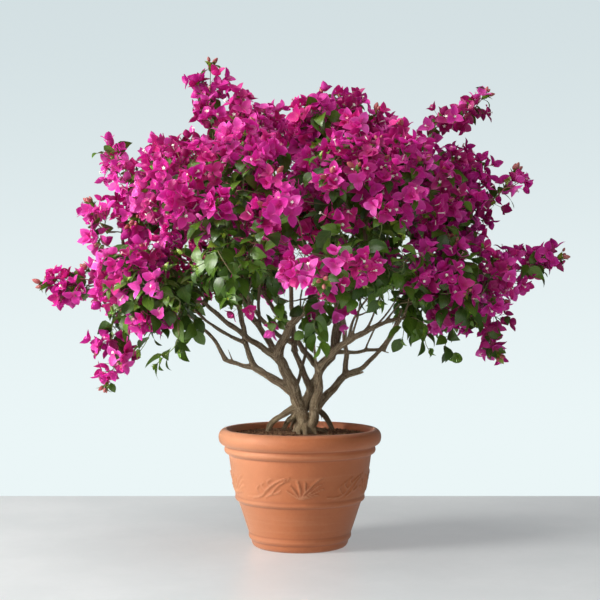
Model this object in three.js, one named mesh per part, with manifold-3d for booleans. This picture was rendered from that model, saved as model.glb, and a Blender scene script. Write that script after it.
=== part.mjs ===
// A bougainvillea bush in a terracotta pot.
// Millimetres, +Z up. The origin is the centre of the pot's flat underside, and -Y is the bush's front.
import * as THREE from 'three';
import { mergeVertices } from 'three/addons/utils/BufferGeometryUtils.js';
import Module from 'manifold-3d';

const wasm = await Module();
wasm.setup();

// Pieces that meet keep this gap.
const GAP = 0.3;

// The pot: outer radii and the heights of its mouldings.
const POT_HEIGHT = 288;
const RIM_RADIUS = 200;
const MOUTH_RADIUS = 174;
const FOOT_RADIUS = 118;
const FLOOR_THICKNESS = 22;
const ROUND_SEGMENTS = 28;

// The soil fills the pot to this height and swells a little in the middle.
const SOIL_EDGE = 268;
const SOIL_TOP = 274;
const SOIL_FLAT_RADIUS = 128;

// Limbs have this many sides and one ring every so many millimetres.
const LIMB_SIDES = 6;
const RING_SPACING = 60;
const FEWEST_RINGS = 3;

// The foot of every stem and root is cut flat just above the soil.
const CUT_HEIGHT = SOIL_TOP + GAP;
const FOOT_DEPTH = CUT_HEIGHT - 8;

// A mass of leaves is grown by this factor to clear the limbs that end in it.
const MASS_CLEARANCE = 1.012;

const FINISHES = {
  terracotta: new THREE.MeshStandardMaterial({ color: 0xc27c58, roughness: 0.85, metalness: 0 }),
  soil: new THREE.MeshStandardMaterial({ color: 0x2e2019, roughness: 1, metalness: 0 }),
  bark: new THREE.MeshStandardMaterial({ color: 0x7d6a54, roughness: 0.9, metalness: 0 }),
  foliage: new THREE.MeshStandardMaterial({ color: 0xb01a70, roughness: 0.7, metalness: 0 }),
};

// The pot's outside, from the foot up: [radius, height].
const POT_OUTSIDE = [
  [FOOT_RADIUS, 0],
  [FOOT_RADIUS + 3, 5],
  [127, 13],
  [127, 22],
  [124, 26],
  [147, 92],
  [156, 98],
  [158, 106],
  [156, 112],
  [159, 122],
  [170, 184],
  [173, 218],
  [185, 223],
  [187, 231],
  [183, 240],
  [194, 244],
  [RIM_RADIUS, 258],
  [RIM_RADIUS, 271],
  [195, 283],
  [187, POT_HEIGHT],
  [180, POT_HEIGHT - 1],
  [MOUTH_RADIUS + 1, 281],
];

// The pot's inner wall, from the mouth down to the floor.
const POT_INSIDE = [
  [MOUTH_RADIUS, 272],
  [170, 238],
  [147, 110],
  [112, FLOOR_THICKNESS],
];

// Stems, roots and boughs: name, start, tip, bow and the radii at both ends. A limb starts at [x, y] on the
// soil, or on another limb at a share of that limb's length. Its bow is how far its middle stands off the
// straight line.
const LIMBS = [
  ['trunk_left', [13, -8], [-59, -36, 474], [9, 2, 12], [22, 12]],
  ['trunk_right', [22, -4], [46, -28, 440], [6, -6, 2], [18, 10.5]],
  ['trunk_back', [17, 30], [90, 62, 480], [-16, 4, 4], [16, 8.5]],
  ['root_left_outer', ['trunk_left', 0.34], [-86, 40, 262], [-8, 4, 16], [8.5, 6.5]],
  ['root_left_inner', ['trunk_left', 0.3], [-46, 70, 262], [-5, 2, 10], [7.5, 5.5]],
  ['root_right', ['trunk_back', 0.3], [86, 118, 262], [6, 4, 20], [8, 6.5]],
  ['bough_left_front', ['trunk_left', 0.97], [62, -150, 636], [-22, 12, -6], [11, 6.5]],
  ['bough_left_low', ['trunk_left', 0.5], [-114, -8, 441], [-3, 0, 4], [11, 8]],
  ['bough_left_reach', ['bough_left_low', 0.99], [-186, 6, 457], [-2, 0, -5], [6, 5]],
  ['bough_left_tip', ['bough_left_reach', 0.98], [-300, 30, 582], [13, 0, 4], [5.2, 3.6]],
  ['bough_left_riser', ['bough_left_low', 0.96], [-160, 50, 690], [-11, -4, 0], [7.5, 4.5]],
  ['bough_left_side', ['bough_left_riser', 0.25], [-268, 16, 586], [0, 0, -13], [5, 3.5]],
  ['bough_left_mid', ['trunk_left', 0.94], [-232, -80, 600], [6, 4, -12], [8.5, 4.5]],
  ['bough_left_high', ['trunk_left', 0.985], [-200, -30, 680], [10, 6, -4], [8.5, 5]],
  ['bough_centre_low', ['trunk_back', 0.5], [-13, 70, 478], [-2, 0, 0], [8, 7]],
  ['bough_centre', ['bough_centre_low', 0.98], [-26, 96, 680], [0, -4, 0], [7.2, 5]],
  ['bough_cross', ['bough_centre', 0.1], [-158, 96, 672], [-14, 0, -26], [6.5, 4]],
  ['bough_inner', ['trunk_left', 0.53], [33, 34, 600], [4, 6, -10], [5, 3]],
  ['bough_right', ['trunk_right', 0.975], [232, -110, 560], [-17, 10, 9], [10, 4.5]],
  ['bough_right_low', ['trunk_right', 0.42], [114, 18, 420], [-4, 0, -4], [11, 8]],
  ['bough_right_tip', ['bough_right_low', 0.97], [256, 50, 582], [8, 0, -28], [7, 3.5]],
  ['bough_right_riser', ['bough_right_low', 0.97], [84, -16, 640], [12, 0, 4], [6.5, 4.5]],
  ['bough_right_cross', ['trunk_back', 0.96], [218, 64, 484], [0, 0, -2], [5.5, 4]],
  ['bough_right_rise', ['bough_right_cross', 0.97], [272, 66, 590], [2, 0, 0], [4, 3]],
  ['bough_back_right', ['trunk_back', 0.98], [100, 130, 640], [-4, 0, 0], [8.5, 5]],
  ['bough_back_left', ['trunk_back', 0.72], [-110, 260, 640], [14, 10, -24], [8, 5]],
  ['bough_back_far', ['trunk_back', 0.9], [130, 300, 640], [0, 20, -30], [8, 5]],
].map(([name, start, tip, bow, radii]) => ({ name, start, tip, bow, radii }));

// Rings of leaf masses round the upright axis. `reach` is how far out the centres stand along X and Y,
// `half` is each mass's half size outwards, round the ring and upwards, and the left and right of a ring
// hang lower than its front and back by `droop`.
const RINGS = [
  { name: 'skirt', count: 8, turn: 22.5, height: 708, droop: 82, reach: [392, 335], half: [142, 165, 120] },
  { name: 'shoulder', count: 6, turn: 0, height: 860, droop: 0, reach: [330, 300], half: [150, 190, 140] },
  { name: 'top', count: 4, turn: 30, height: 1000, droop: 0, reach: [165, 150], half: [135, 135, 95] },
];

// One mass fills the middle of the crown.
const CORE = { name: 'leaves_core', centre: [0, 0, 860], half: [150, 130, 150] };

// Sprays that stand out of the rings: each is a slim mass from `from` to `tip`.
const SPRAYS = [
  { name: 'spray_top_left', from: [-210, -20, 1010], tip: [-236, -30, 1178], half: 46 },
  { name: 'spray_top', from: [110, 10, 1020], tip: [120, 10, 1148], half: 60 },
  { name: 'spray_top_right', from: [270, -20, 940], tip: [440, -40, 1122], half: 52 },
  { name: 'spray_right', from: [400, -60, 830], tip: [545, -80, 905], half: 48 },
  { name: 'spray_far_right', from: [450, 30, 650], tip: [654, 40, 712], half: 58 },
  { name: 'spray_low_right', from: [430, -40, 590], tip: [500, -50, 458], half: 50 },
  { name: 'spray_low_left', from: [-420, -60, 570], tip: [-462, -80, 405], half: 56 },
  { name: 'spray_far_left', from: [-450, 20, 660], tip: [-640, 30, 640], half: 56 },
  { name: 'spray_left', from: [-400, -40, 775], tip: [-546, -50, 780], half: 66 },
  { name: 'spray_upper_left', from: [-330, -20, 880], tip: [-505, -20, 985], half: 60 },
  { name: 'spray_front', from: [30, -440, 690], tip: [60, -560, 640], half: 60 },
  { name: 'spray_back', from: [-60, 440, 700], tip: [-100, 575, 650], half: 60 },
];

// How uneven a mass is: its bumps as a share of its size.
const MASS_BUMPS = 0.13;
const CORE_SEED = 31;
const SPRAY_SEED = 41;
const RING_MASS_DETAIL = 2;
const SPRAY_MASS_DETAIL = 1;
const CORE_MASS_DETAIL = 1;

/** A closed mesh as a solid that can be cut and joined. */
function solidOf(geometry) {
  const bare = geometry.clone();
  bare.deleteAttribute('normal');
  bare.deleteAttribute('uv');
  const merged = mergeVertices(bare, 1e-3);
  return new wasm.Manifold(new wasm.Mesh({
    numProp: 3,
    vertProperties: Float32Array.from(merged.attributes.position.array),
    triVerts: Uint32Array.from(merged.index.array),
  }));
}

/** A solid's mesh, ready for a named part. */
function geometryOf(solid) {
  const mesh = solid.getMesh();
  const geometry = new THREE.BufferGeometry();
  geometry.setAttribute('position', new THREE.BufferAttribute(mesh.vertProperties, 3));
  geometry.setIndex(new THREE.BufferAttribute(mesh.triVerts, 1));
  geometry.computeVertexNormals();
  return geometry;
}

/** The largest of the pieces that a cut left. */
function largestPiece(solid) {
  const pieces = solid.decompose();
  pieces.sort((a, b) => b.volume() - a.volume());
  return pieces[0];
}

/** A turned shape round the upright axis, from [radius, height] pairs that start and end on the axis. */
function turned(profile) {
  const points = profile.map(([radius, height]) => new THREE.Vector2(radius, height));
  const geometry = new THREE.LatheGeometry(points, ROUND_SEGMENTS);
  geometry.rotateX(Math.PI / 2);
  return geometry;
}

function potSolid() {
  return solidOf(turned([[0, 0], ...POT_OUTSIDE, ...POT_INSIDE, [0, FLOOR_THICKNESS]]));
}

/** The soil keeps the gap to the pot's inner wall all the way down. */
function soilSolid() {
  const side = POT_INSIDE.slice(1).reverse().map(([radius, height]) => [radius - 2 * GAP, height]);
  side[0][1] += GAP;
  return solidOf(turned([
    [0, FLOOR_THICKNESS + GAP],
    ...side,
    [MOUTH_RADIUS - 1.2 - 2 * GAP, SOIL_EDGE],
    [SOIL_FLAT_RADIUS, SOIL_TOP],
    [0, SOIL_TOP],
  ]));
}

/** The line of a limb, from its start to its tip. */
function limbCurve(limb, curves) {
  const [first, second] = limb.start;
  const start = first in curves
    ? curves[first].getPointAt(second)
    : new THREE.Vector3(first, second, FOOT_DEPTH);
  const tip = new THREE.Vector3(...limb.tip);
  const bow = new THREE.Vector3(...limb.bow);
  const middle = start.clone().add(tip).multiplyScalar(0.5).addScaledVector(bow, 2);
  return new THREE.QuadraticBezierCurve3(start, middle, tip);
}

/** A tapering tube with closed ends: a cylinder bent along the curve. */
function limbGeometry(curve, [footRadius, tipRadius], extra) {
  const rings = Math.max(FEWEST_RINGS, Math.round(curve.getLength() / RING_SPACING));
  const geometry = new THREE.CylinderGeometry(1, 1, 1, LIMB_SIDES, rings);
  const frames = curve.computeFrenetFrames(rings);
  const place = geometry.attributes.position;
  const across = new THREE.Vector3();
  for (let i = 0; i < place.count; i += 1) {
    const along = place.getY(i) + 0.5;
    const ring = Math.round(along * rings);
    const radius = THREE.MathUtils.lerp(footRadius, tipRadius, along) + extra;
    across.copy(frames.normals[ring]).multiplyScalar(place.getX(i) * radius);
    across.addScaledVector(frames.binormals[ring], -place.getZ(i) * radius);
    across.add(curve.getPointAt(along));
    place.setXYZ(i, across.x, across.y, across.z);
  }
  return geometry;
}

/** Bumps of a mass in one direction, the same each time for one seed. */
function bump({ x, y, z }, seed) {
  const sideways = Math.sin(2.3 * x + 1.7 * seed) + Math.sin(2.9 * y + 2.3 * seed);
  const broad = sideways + Math.sin(2.6 * z + 3.1 * seed);
  const fine = Math.sin(5.1 * x - 4.3 * y + seed) + Math.sin(4.7 * z + 3.9 * x + 2 * seed);
  return (broad / 3 + fine / 4) * MASS_BUMPS;
}

/** An uneven ball, longer or shorter along its three axes. */
function massGeometry(centre, axes, half, detail, seed) {
  const geometry = new THREE.IcosahedronGeometry(1, detail);
  const place = geometry.attributes.position;
  const direction = new THREE.Vector3();
  const point = new THREE.Vector3();
  for (let i = 0; i < place.count; i += 1) {
    direction.fromBufferAttribute(place, i).normalize();
    const size = 1 + bump(direction, seed);
    point.copy(centre);
    point.addScaledVector(axes[0], direction.x * half[0] * size);
    point.addScaledVector(axes[1], direction.y * half[1] * size);
    point.addScaledVector(axes[2], direction.z * half[2] * size);
    place.setXYZ(i, point.x, point.y, point.z);
  }
  return geometry;
}

/** The masses of one ring. */
function ringMasses(ring, firstSeed) {
  const masses = [];
  for (let i = 0; i < ring.count; i += 1) {
    const angle = THREE.MathUtils.degToRad(ring.turn + (360 * i) / ring.count);
    const out = new THREE.Vector3(Math.cos(angle), Math.sin(angle), 0);
    const round = new THREE.Vector3(-out.y, out.x, 0);
    const lower = ring.droop * out.x * out.x;
    const centre = new THREE.Vector3(ring.reach[0] * out.x, ring.reach[1] * out.y, ring.height - lower);
    const axes = [out, round, new THREE.Vector3(0, 0, 1)];
    const seed = firstSeed + i;
    const geometry = massGeometry(centre, axes, ring.half, RING_MASS_DETAIL, seed);
    masses.push({ name: `leaves_${ring.name}_${i + 1}`, centre, solid: solidOf(geometry) });
  }
  return masses;
}

function coreMass(seed) {
  const centre = new THREE.Vector3(...CORE.centre);
  const axes = [new THREE.Vector3(1, 0, 0), new THREE.Vector3(0, 1, 0), new THREE.Vector3(0, 0, 1)];
  const geometry = massGeometry(centre, axes, CORE.half, CORE_MASS_DETAIL, seed);
  return { name: CORE.name, centre, solid: solidOf(geometry) };
}

/** A spray's mass lies along the line from its root to its tip. */
function sprayMass({ name, from, tip, half }, seed) {
  const start = new THREE.Vector3(...from);
  const end = new THREE.Vector3(...tip);
  const centre = start.clone().lerp(end, 0.5);
  const out = end.clone().sub(start);
  const length = out.length();
  out.normalize();
  const aside = new THREE.Vector3(0, 1, 0).cross(out).normalize();
  const upward = out.clone().cross(aside);
  const halfSizes = [length / 2, half, half];
  const geometry = massGeometry(centre, [out, aside, upward], halfSizes, SPRAY_MASS_DETAIL, seed);
  return { name: `leaves_${name}`, centre, solid: solidOf(geometry) };
}

/** How far a solid reaches along a direction. */
function reachAlong(solid, direction) {
  const { vertProperties } = solid.getMesh();
  let furthest = -Infinity;
  for (let i = 0; i < vertProperties.length; i += 3) {
    const reach = vertProperties[i] * direction.x
      + vertProperties[i + 1] * direction.y
      + vertProperties[i + 2] * direction.z;
    furthest = Math.max(furthest, reach);
  }
  return furthest;
}

/** Parts two masses that run into each other with a flat cut, halfway through where they overlap. */
function partMasses(a, b) {
  if (a.solid.intersect(b.solid).isEmpty()) {
    return;
  }
  const towards = b.centre.clone().sub(a.centre).normalize();
  const back = towards.clone().negate();
  const cut = (reachAlong(a.solid, towards) - reachAlong(b.solid, back)) / 2;
  a.solid = largestPiece(a.solid.trimByPlane(back.toArray(), -(cut - GAP)));
  b.solid = largestPiece(b.solid.trimByPlane(towards.toArray(), cut + GAP));
}

/** A mass made a little larger about its own centre. */
function grownMass({ centre, solid }) {
  const atOrigin = solid.translate([-centre.x, -centre.y, -centre.z]);
  return atOrigin.scale(MASS_CLEARANCE).translate(centre.toArray());
}

/** The crown: rings and core parted from each other, then the sprays, cut clear of all before them. */
function leafMasses() {
  const crown = [];
  RINGS.forEach((ring, i) => crown.push(...ringMasses(ring, 10 * i + 1)));
  crown.push(coreMass(CORE_SEED));
  crown.forEach((a, i) => crown.slice(i + 1).forEach((b) => partMasses(a, b)));
  SPRAYS.forEach((spray, i) => {
    const mass = sprayMass(spray, SPRAY_SEED + i);
    crown.map(grownMass).forEach((other) => {
      mass.solid = mass.solid.subtract(other);
    });
    mass.solid = largestPiece(mass.solid);
    crown.push(mass);
  });
  return crown;
}

/** Limbs, each cut clear of the limbs before it and ended where it enters a mass of leaves. */
function limbSolids(masses) {
  const curves = {};
  const limbs = [];
  let taken = masses.map(grownMass).reduce((all, mass) => all.add(mass));
  LIMBS.forEach((limb) => {
    const curve = limbCurve(limb, curves);
    curves[limb.name] = curve;
    const whole = solidOf(limbGeometry(curve, limb.radii, 0));
    const clear = largestPiece(whole.trimByPlane([0, 0, 1], CUT_HEIGHT).subtract(taken));
    limbs.push({ name: limb.name, solid: clear });
    taken = taken.add(solidOf(limbGeometry(curve, limb.radii, 1.4 * GAP)));
  });
  return limbs;
}

function named(name, solid, finish) {
  const mesh = new THREE.Mesh(geometryOf(solid), FINISHES[finish].clone());
  mesh.name = name;
  return mesh;
}

const bush = new THREE.Group();
const masses = leafMasses();
bush.add(named('pot', potSolid(), 'terracotta'));
bush.add(named('soil', soilSolid(), 'soil'));
limbSolids(masses).forEach(({ name, solid }) => bush.add(named(name, solid, 'bark')));
masses.forEach(({ name, solid }) => bush.add(named(name, solid, 'foliage')));

export default bush;
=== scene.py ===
"""A bougainvillea bush in a terracotta pot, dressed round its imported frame.

Metres, +Z up. The origin is the centre of the pot's flat underside, and -Y is the bush's front.
"""

import itertools
import logging
import math
from collections.abc import Callable, Iterable, Sequence
from dataclasses import dataclass, field
from enum import Enum
from typing import NamedTuple

import bmesh
import bpy
import numpy as np
from mathutils import Matrix, Vector, noise
from mathutils.bvhtree import BVHTree
from mathutils.kdtree import KDTree


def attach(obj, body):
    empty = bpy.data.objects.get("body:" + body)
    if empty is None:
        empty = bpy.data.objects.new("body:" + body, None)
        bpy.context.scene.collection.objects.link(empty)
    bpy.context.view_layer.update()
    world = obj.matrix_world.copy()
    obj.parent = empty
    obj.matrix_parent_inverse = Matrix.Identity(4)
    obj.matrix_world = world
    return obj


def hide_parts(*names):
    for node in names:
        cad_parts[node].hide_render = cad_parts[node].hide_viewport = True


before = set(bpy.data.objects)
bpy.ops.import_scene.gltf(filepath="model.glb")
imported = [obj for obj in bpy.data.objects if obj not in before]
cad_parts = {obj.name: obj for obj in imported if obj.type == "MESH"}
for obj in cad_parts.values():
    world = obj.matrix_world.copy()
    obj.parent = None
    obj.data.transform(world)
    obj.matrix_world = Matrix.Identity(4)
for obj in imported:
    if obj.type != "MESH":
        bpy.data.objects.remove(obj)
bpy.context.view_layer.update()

LOG = logging.getLogger("bougainvillea")
BODY = "root"
MM = 0.001
WELD = 1e-5
GOLDEN_ANGLE = math.radians(137.5)
DOWN = np.array((0.0, 0.0, -1.0))
UPWARD = np.array((0.0, 0.0, 1.0))
CROWN_MIDDLE = np.array((0.0, 0.0, 0.8))
BLADE_STEPS = 60
BLADE_WELD = 1e-6

# Leaves, bracts and other small things share one square of pattern a tint: CELLS by CELLS of them on a map.
CELL_MAP = "OFBake"
CELLS = 4
CELL_EDGE = 0.04

Colour = tuple[float, float, float]
Socket = bpy.types.NodeSocket


def linear(red: int, green: int, blue: int) -> Colour:
    """Turns a colour as seen into the linear one that shaders take.

    Args:
        red, green, blue: The colour as seen, each from 0 to 255.

    Returns:
        The linear colour, each part from 0 to 1.
    """
    seen = np.array((red, green, blue)) / 255
    low = seen / 12.92
    high = ((seen + 0.055) / 1.055) ** 2.4
    return tuple(float(x) for x in np.where(seen <= 0.04045, low, high))


def unit(vectors: np.ndarray) -> np.ndarray:
    """Vectors scaled to a length of one, along the last axis."""
    return vectors / np.maximum(np.linalg.norm(vectors, axis=-1, keepdims=True), 1e-12)


def smoothstep(value: np.ndarray | float, low: float, high: float) -> np.ndarray:
    """Eases from 0 where the value is at low to 1 where it is at high."""
    share = np.clip((np.asarray(value, float) - low) / (high - low), 0, 1)
    return share * share * (3 - 2 * share)


# ---------------------------------------------------------------- shader sheets


class Sheet:
    """Lays nodes in one tree and joins them."""

    def __init__(self, tree: bpy.types.NodeTree) -> None:
        """Takes the tree to lay nodes in."""
        self.tree = tree

    def node(self, kind: str, **settings: object) -> bpy.types.Node:
        """Adds a node.

        Args:
            kind: The node's type.
            settings: Its properties by name.

        Returns:
            The node.
        """
        made = self.tree.nodes.new(kind)
        for name, value in settings.items():
            setattr(made, name, value)
        return made

    def feed(self, socket: Socket, value: object) -> None:
        """Fills a socket.

        Args:
            socket: The input to fill.
            value: Another node's output to join to it, or a plain value to set on it.
        """
        if isinstance(value, bpy.types.NodeSocket):
            self.tree.links.new(value, socket)
        elif isinstance(value, tuple) and len(value) == 3 and socket.type == "RGBA":
            socket.default_value = (*value, 1.0)
        else:
            socket.default_value = value

    def math(self, operation: str, first: object, second: object = 0.0, clamp: bool = False) -> Socket:
        """Works on two values.

        Args:
            operation: What is done, in the Math node's words.
            first: A value or a socket.
            second: A value or a socket.
            clamp: Keep the result from 0 to 1.

        Returns:
            The result's socket.
        """
        made = self.node("ShaderNodeMath", operation=operation, use_clamp=clamp)
        self.feed(made.inputs[0], first)
        self.feed(made.inputs[1], second)
        return made.outputs[0]

    def vector(self, operation: str, first: object, second: object = (0.0, 0.0, 0.0)) -> Socket:
        """Works on two vectors.

        Args:
            operation: What is done, in the Vector Math node's words.
            first: A vector or a socket.
            second: A vector or a socket.

        Returns:
            The result's socket.
        """
        made = self.node("ShaderNodeVectorMath", operation=operation)
        self.feed(made.inputs[0], first)
        self.feed(made.inputs[1], second)
        return made.outputs[0]

    def times(self, first: object, second: object) -> Socket:
        """The product of two values."""
        return self.math("MULTIPLY", first, second)

    def parts(self, vector: object) -> bpy.types.bpy_prop_collection:
        """Splits a vector.

        Args:
            vector: The vector's socket.

        Returns:
            Its X, Y and Z sockets.
        """
        made = self.node("ShaderNodeSeparateXYZ")
        self.feed(made.inputs[0], vector)
        return made.outputs

    def colour(self, factor: object, first: object, second: object) -> Socket:
        """Blends two colours.

        Args:
            factor: 0 gives the first, 1 the second.
            first: A colour or a socket.
            second: A colour or a socket.

        Returns:
            The blend's socket.
        """
        made = self.node("ShaderNodeMix", data_type="RGBA")
        self.feed(made.inputs[0], factor)
        self.feed(made.inputs[6], first)
        self.feed(made.inputs[7], second)
        return made.outputs[2]

    def noise(self, vector: object, scale: object, detail: float = 3.0, rough: float = 0.55) -> Socket:
        """Makes clouds.

        Args:
            vector: Where they are read.
            scale: How many there are to a metre.
            detail: How many finer layers they have.
            rough: How strong the finer layers are.

        Returns:
            A socket that is mostly from 0.3 to 0.7.
        """
        made = self.node("ShaderNodeTexNoise")
        self.feed(made.inputs["Vector"], vector)
        self.feed(made.inputs["Scale"], scale)
        made.inputs["Detail"].default_value = detail
        made.inputs["Roughness"].default_value = rough
        return made.outputs["Fac"]

    def span(self, value: object, low: object, high: object, start: object = 0.0, end: object = 1.0) -> Socket:
        """Maps a span of a value to another span, eased at both ends.

        Args:
            value: The value.
            low: Where it starts.
            high: Where it ends.
            start: What low becomes.
            end: What high becomes.

        Returns:
            The result's socket.
        """
        made = self.node("ShaderNodeMapRange", interpolation_type="SMOOTHSTEP")
        for socket, given in zip(made.inputs, (value, low, high, start, end)):
            self.feed(socket, given)
        return made.outputs[0]

    def place(self, scale: tuple[float, float, float] = (1, 1, 1)) -> Socket:
        """Finds a spot's place on its object.

        Args:
            scale: What each axis is multiplied by.

        Returns:
            The coordinates' socket.
        """
        mapping = self.node("ShaderNodeMapping")
        self.feed(mapping.inputs["Vector"], self.node("ShaderNodeTexCoord").outputs["Object"])
        mapping.inputs["Scale"].default_value = scale
        return mapping.outputs[0]

    def bump(self, shader: bpy.types.Node, height: object, strength: float, distance: float) -> None:
        """Roughens a surface.

        Args:
            shader: The shader whose normal is bent.
            height: The socket of the relief's height.
            strength: How much of it counts.
            distance: How high the relief is, in metres.
        """
        made = self.node("ShaderNodeBump")
        made.inputs["Strength"].default_value = strength
        made.inputs["Distance"].default_value = distance
        self.feed(made.inputs["Height"], height)
        self.feed(shader.inputs["Normal"], made.outputs[0])

    def attribute(self, name: str) -> bpy.types.Node:
        """A piece's own attribute."""
        return self.node("ShaderNodeAttribute", attribute_name=name)

    def group(self, tree: bpy.types.NodeTree, **given: object) -> bpy.types.Node:
        """Places a shared effect.

        Args:
            tree: The effect's group.
            given: What its inputs get, by name with _ for each space.

        Returns:
            The group's node.
        """
        made = self.node("ShaderNodeGroup", node_tree=tree)
        for name, value in given.items():
            self.feed(made.inputs[name.replace("_", " ")], value)
        return made


class Effect:
    """A shared effect under way: a group tree with its named sockets."""

    def __init__(self, name: str, inputs: dict[str, tuple[str, object]], outputs: Sequence[str]) -> None:
        """Makes the group.

        Args:
            name: The group's name.
            inputs: Each input's socket type and plain value.
            outputs: The names of the outputs, all values.
        """
        self.tree = bpy.data.node_groups.new(name, "ShaderNodeTree")
        for label, (kind, value) in inputs.items():
            socket = self.tree.interface.new_socket(label, in_out="INPUT", socket_type=kind)
            if value is not None:
                socket.default_value = value
        for label in outputs:
            self.tree.interface.new_socket(label, in_out="OUTPUT", socket_type="NodeSocketFloat")
        self.sheet = Sheet(self.tree)
        self.given = self.tree.nodes.new("NodeGroupInput").outputs
        self.result = self.tree.nodes.new("NodeGroupOutput").inputs


class Effects:
    """The effects that more than one finish uses, each built once."""

    def __init__(self) -> None:
        """Builds the groups."""
        self.mottle = self._mottle()
        self.blade = self._blade()

    @staticmethod
    def _mottle() -> bpy.types.NodeTree:
        """Makes blotches broken up by finer ones.

        Returns:
            The node group, with the values Blotches and Grain.
        """
        value = "NodeSocketFloat"
        effect = Effect(
            "Mottle",
            {
                "Vector": ("NodeSocketVector", None),
                "Broad": (value, 8.0),
                "Fine": (value, 120.0),
                "Contrast": (value, 0.5),
            },
            ("Blotches", "Grain"),
        )
        sheet, given = effect.sheet, effect.given
        broad = sheet.noise(given["Vector"], given["Broad"], 4.0)
        fine = sheet.noise(given["Vector"], given["Fine"], 3.0, 0.6)
        both = sheet.math("ADD", sheet.times(broad, 0.75), sheet.times(fine, 0.25))
        reach = sheet.times(sheet.math("SUBTRACT", 1.0, given["Contrast"]), 0.3)
        low = sheet.math("SUBTRACT", 0.48, reach)
        high = sheet.math("ADD", 0.52, reach)
        sheet.feed(effect.result["Blotches"], sheet.span(both, low, high))
        sheet.feed(effect.result["Grain"], sheet.span(fine, 0.3, 0.7))
        return effect.tree

    @staticmethod
    def _blade() -> bpy.types.NodeTree:
        """Draws the lines of a leaf or bract from its cell of the map.

        Returns:
            The node group, with the values Rib, Veins, Edge, Along and Clouds.
        """
        value = "NodeSocketFloat"
        effect = Effect(
            "Blade lines",
            {
                "Map": ("NodeSocketVector", None),
                "Rib width": (value, 0.08),
                "Vein count": (value, 6.0),
                "Vein slant": (value, 0.5),
                "Vein width": (value, 0.2),
            },
            ("Rib", "Veins", "Edge", "Along", "Clouds"),
        )
        sheet, given = effect.sheet, effect.given
        cell = sheet.vector("FRACTION", sheet.vector("MULTIPLY", given["Map"], (CELLS, CELLS, CELLS)))
        sides = sheet.parts(cell)
        shrink = 1 / (1 - 2 * CELL_EDGE)
        across, along = (sheet.times(sheet.math("SUBTRACT", sides[i], CELL_EDGE), shrink) for i in (0, 1))
        side = sheet.math("ABSOLUTE", sheet.math("SUBTRACT", sheet.times(across, 2.0), 1.0))
        rib = sheet.span(side, 0.0, given["Rib width"], 1.0, 0.0)
        bend = sheet.times(sheet.math("POWER", side, 1.3), given["Vein slant"])
        run = sheet.times(sheet.math("SUBTRACT", along, bend), given["Vein count"])
        middle = sheet.math("ABSOLUTE", sheet.math("SUBTRACT", sheet.math("FRACT", run), 0.5))
        line = sheet.span(middle, 0.0, given["Vein width"], 1.0, 0.0)
        fade = sheet.span(side, 0.75, 1.0, 1.0, 0.0)
        sheet.feed(effect.result["Rib"], rib)
        sheet.feed(effect.result["Veins"], sheet.times(line, fade))
        sheet.feed(effect.result["Edge"], sheet.span(side, 0.55, 1.0))
        sheet.feed(effect.result["Along"], along)
        sheet.feed(effect.result["Clouds"], sheet.span(sheet.noise(cell, 5.0, 3.0), 0.3, 0.7))
        return effect.tree


# ---------------------------------------------------------------- finishes


@dataclass(frozen=True)
class Finish:
    """A finish: its name and how dull it is."""

    name: str
    roughness: float

    def begin(self) -> tuple[bpy.types.Material, Sheet, bpy.types.Node]:
        """Starts the material.

        Returns:
            The material, its sheet and its Principled shader.
        """
        material = bpy.data.materials.new(self.name)
        material.use_nodes = True
        sheet = Sheet(material.node_tree)
        shader = material.node_tree.nodes["Principled BSDF"]
        shader.inputs["Roughness"].default_value = self.roughness
        return material, sheet, shader


@dataclass(frozen=True)
class Terracotta(Finish):
    """Fired clay with pale bloom, painted shade in its hollows, a painted highlight on its crests and on its left
    side, and a fine sandy grain.
    """

    clay: Colour = linear(180, 101, 56)
    deep: Colour = linear(146, 75, 40)
    bloom: Colour = linear(212, 160, 122)

    def material(self, effects: Effects) -> bpy.types.Material:
        """Builds it from the shared effects; the piece has a "relief" attribute.

        Args:
            effects: The shared effects.

        Returns:
            The material.
        """
        material, sheet, shader = self.begin()
        place = sheet.place()
        broad = sheet.group(effects.mottle, Vector=place, Broad=9.0, Fine=60.0, Contrast=0.2)
        fine = sheet.group(effects.mottle, Vector=place, Broad=160.0, Fine=900.0, Contrast=0.5)
        bands = sheet.noise(sheet.place(scale=(1.0, 1.0, 22.0)), 3.0, 3.0)
        relief = sheet.attribute("relief").outputs["Fac"]
        # Darker in the grooves: painted shade. Paler on the crests and raised fronds: painted highlight.
        painted_groove_shade = sheet.span(relief, 0.0, 0.45, 1.0, 0.0)
        painted_crest_highlight = sheet.span(relief, 0.55, 1.0)
        # Paler towards the left side of the pot: a painted highlight where the key lamp falls.
        painted_light_left = sheet.span(sheet.parts(place)[0], 0.0, -0.19, 0.0, 0.34)
        base = sheet.colour(sheet.times(broad.outputs["Blotches"], 0.35), self.clay, self.deep)
        base = sheet.colour(sheet.span(bands, 0.5, 0.75, 0.0, 0.14), base, self.bloom)
        base = sheet.colour(sheet.times(fine.outputs["Blotches"], 0.08), base, self.bloom)
        # A painted highlight on the left side.
        base = sheet.colour(painted_light_left, base, self.bloom)
        # Painted shade in the grooves, then a painted highlight on the crests.
        base = sheet.colour(sheet.times(painted_groove_shade, 0.5), base, self.deep)
        base = sheet.colour(sheet.times(painted_crest_highlight, 0.3), base, self.bloom)
        sheet.feed(shader.inputs["Base Color"], base)
        sheet.feed(shader.inputs["Roughness"], sheet.span(fine.outputs["Blotches"], 0.0, 1.0, 0.52, 0.66))
        sheet.bump(shader, sheet.math("ADD", fine.outputs["Grain"], sheet.times(bands, 1.5)), 0.25, 0.0006)
        shader.inputs["Sheen Weight"].default_value = 0.22
        shader.inputs["Sheen Roughness"].default_value = 0.5
        shader.inputs["Sheen Tint"].default_value = (1.0, 0.9, 0.8, 1.0)
        shader.inputs["Specular IOR Level"].default_value = 0.45
        return material


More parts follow.
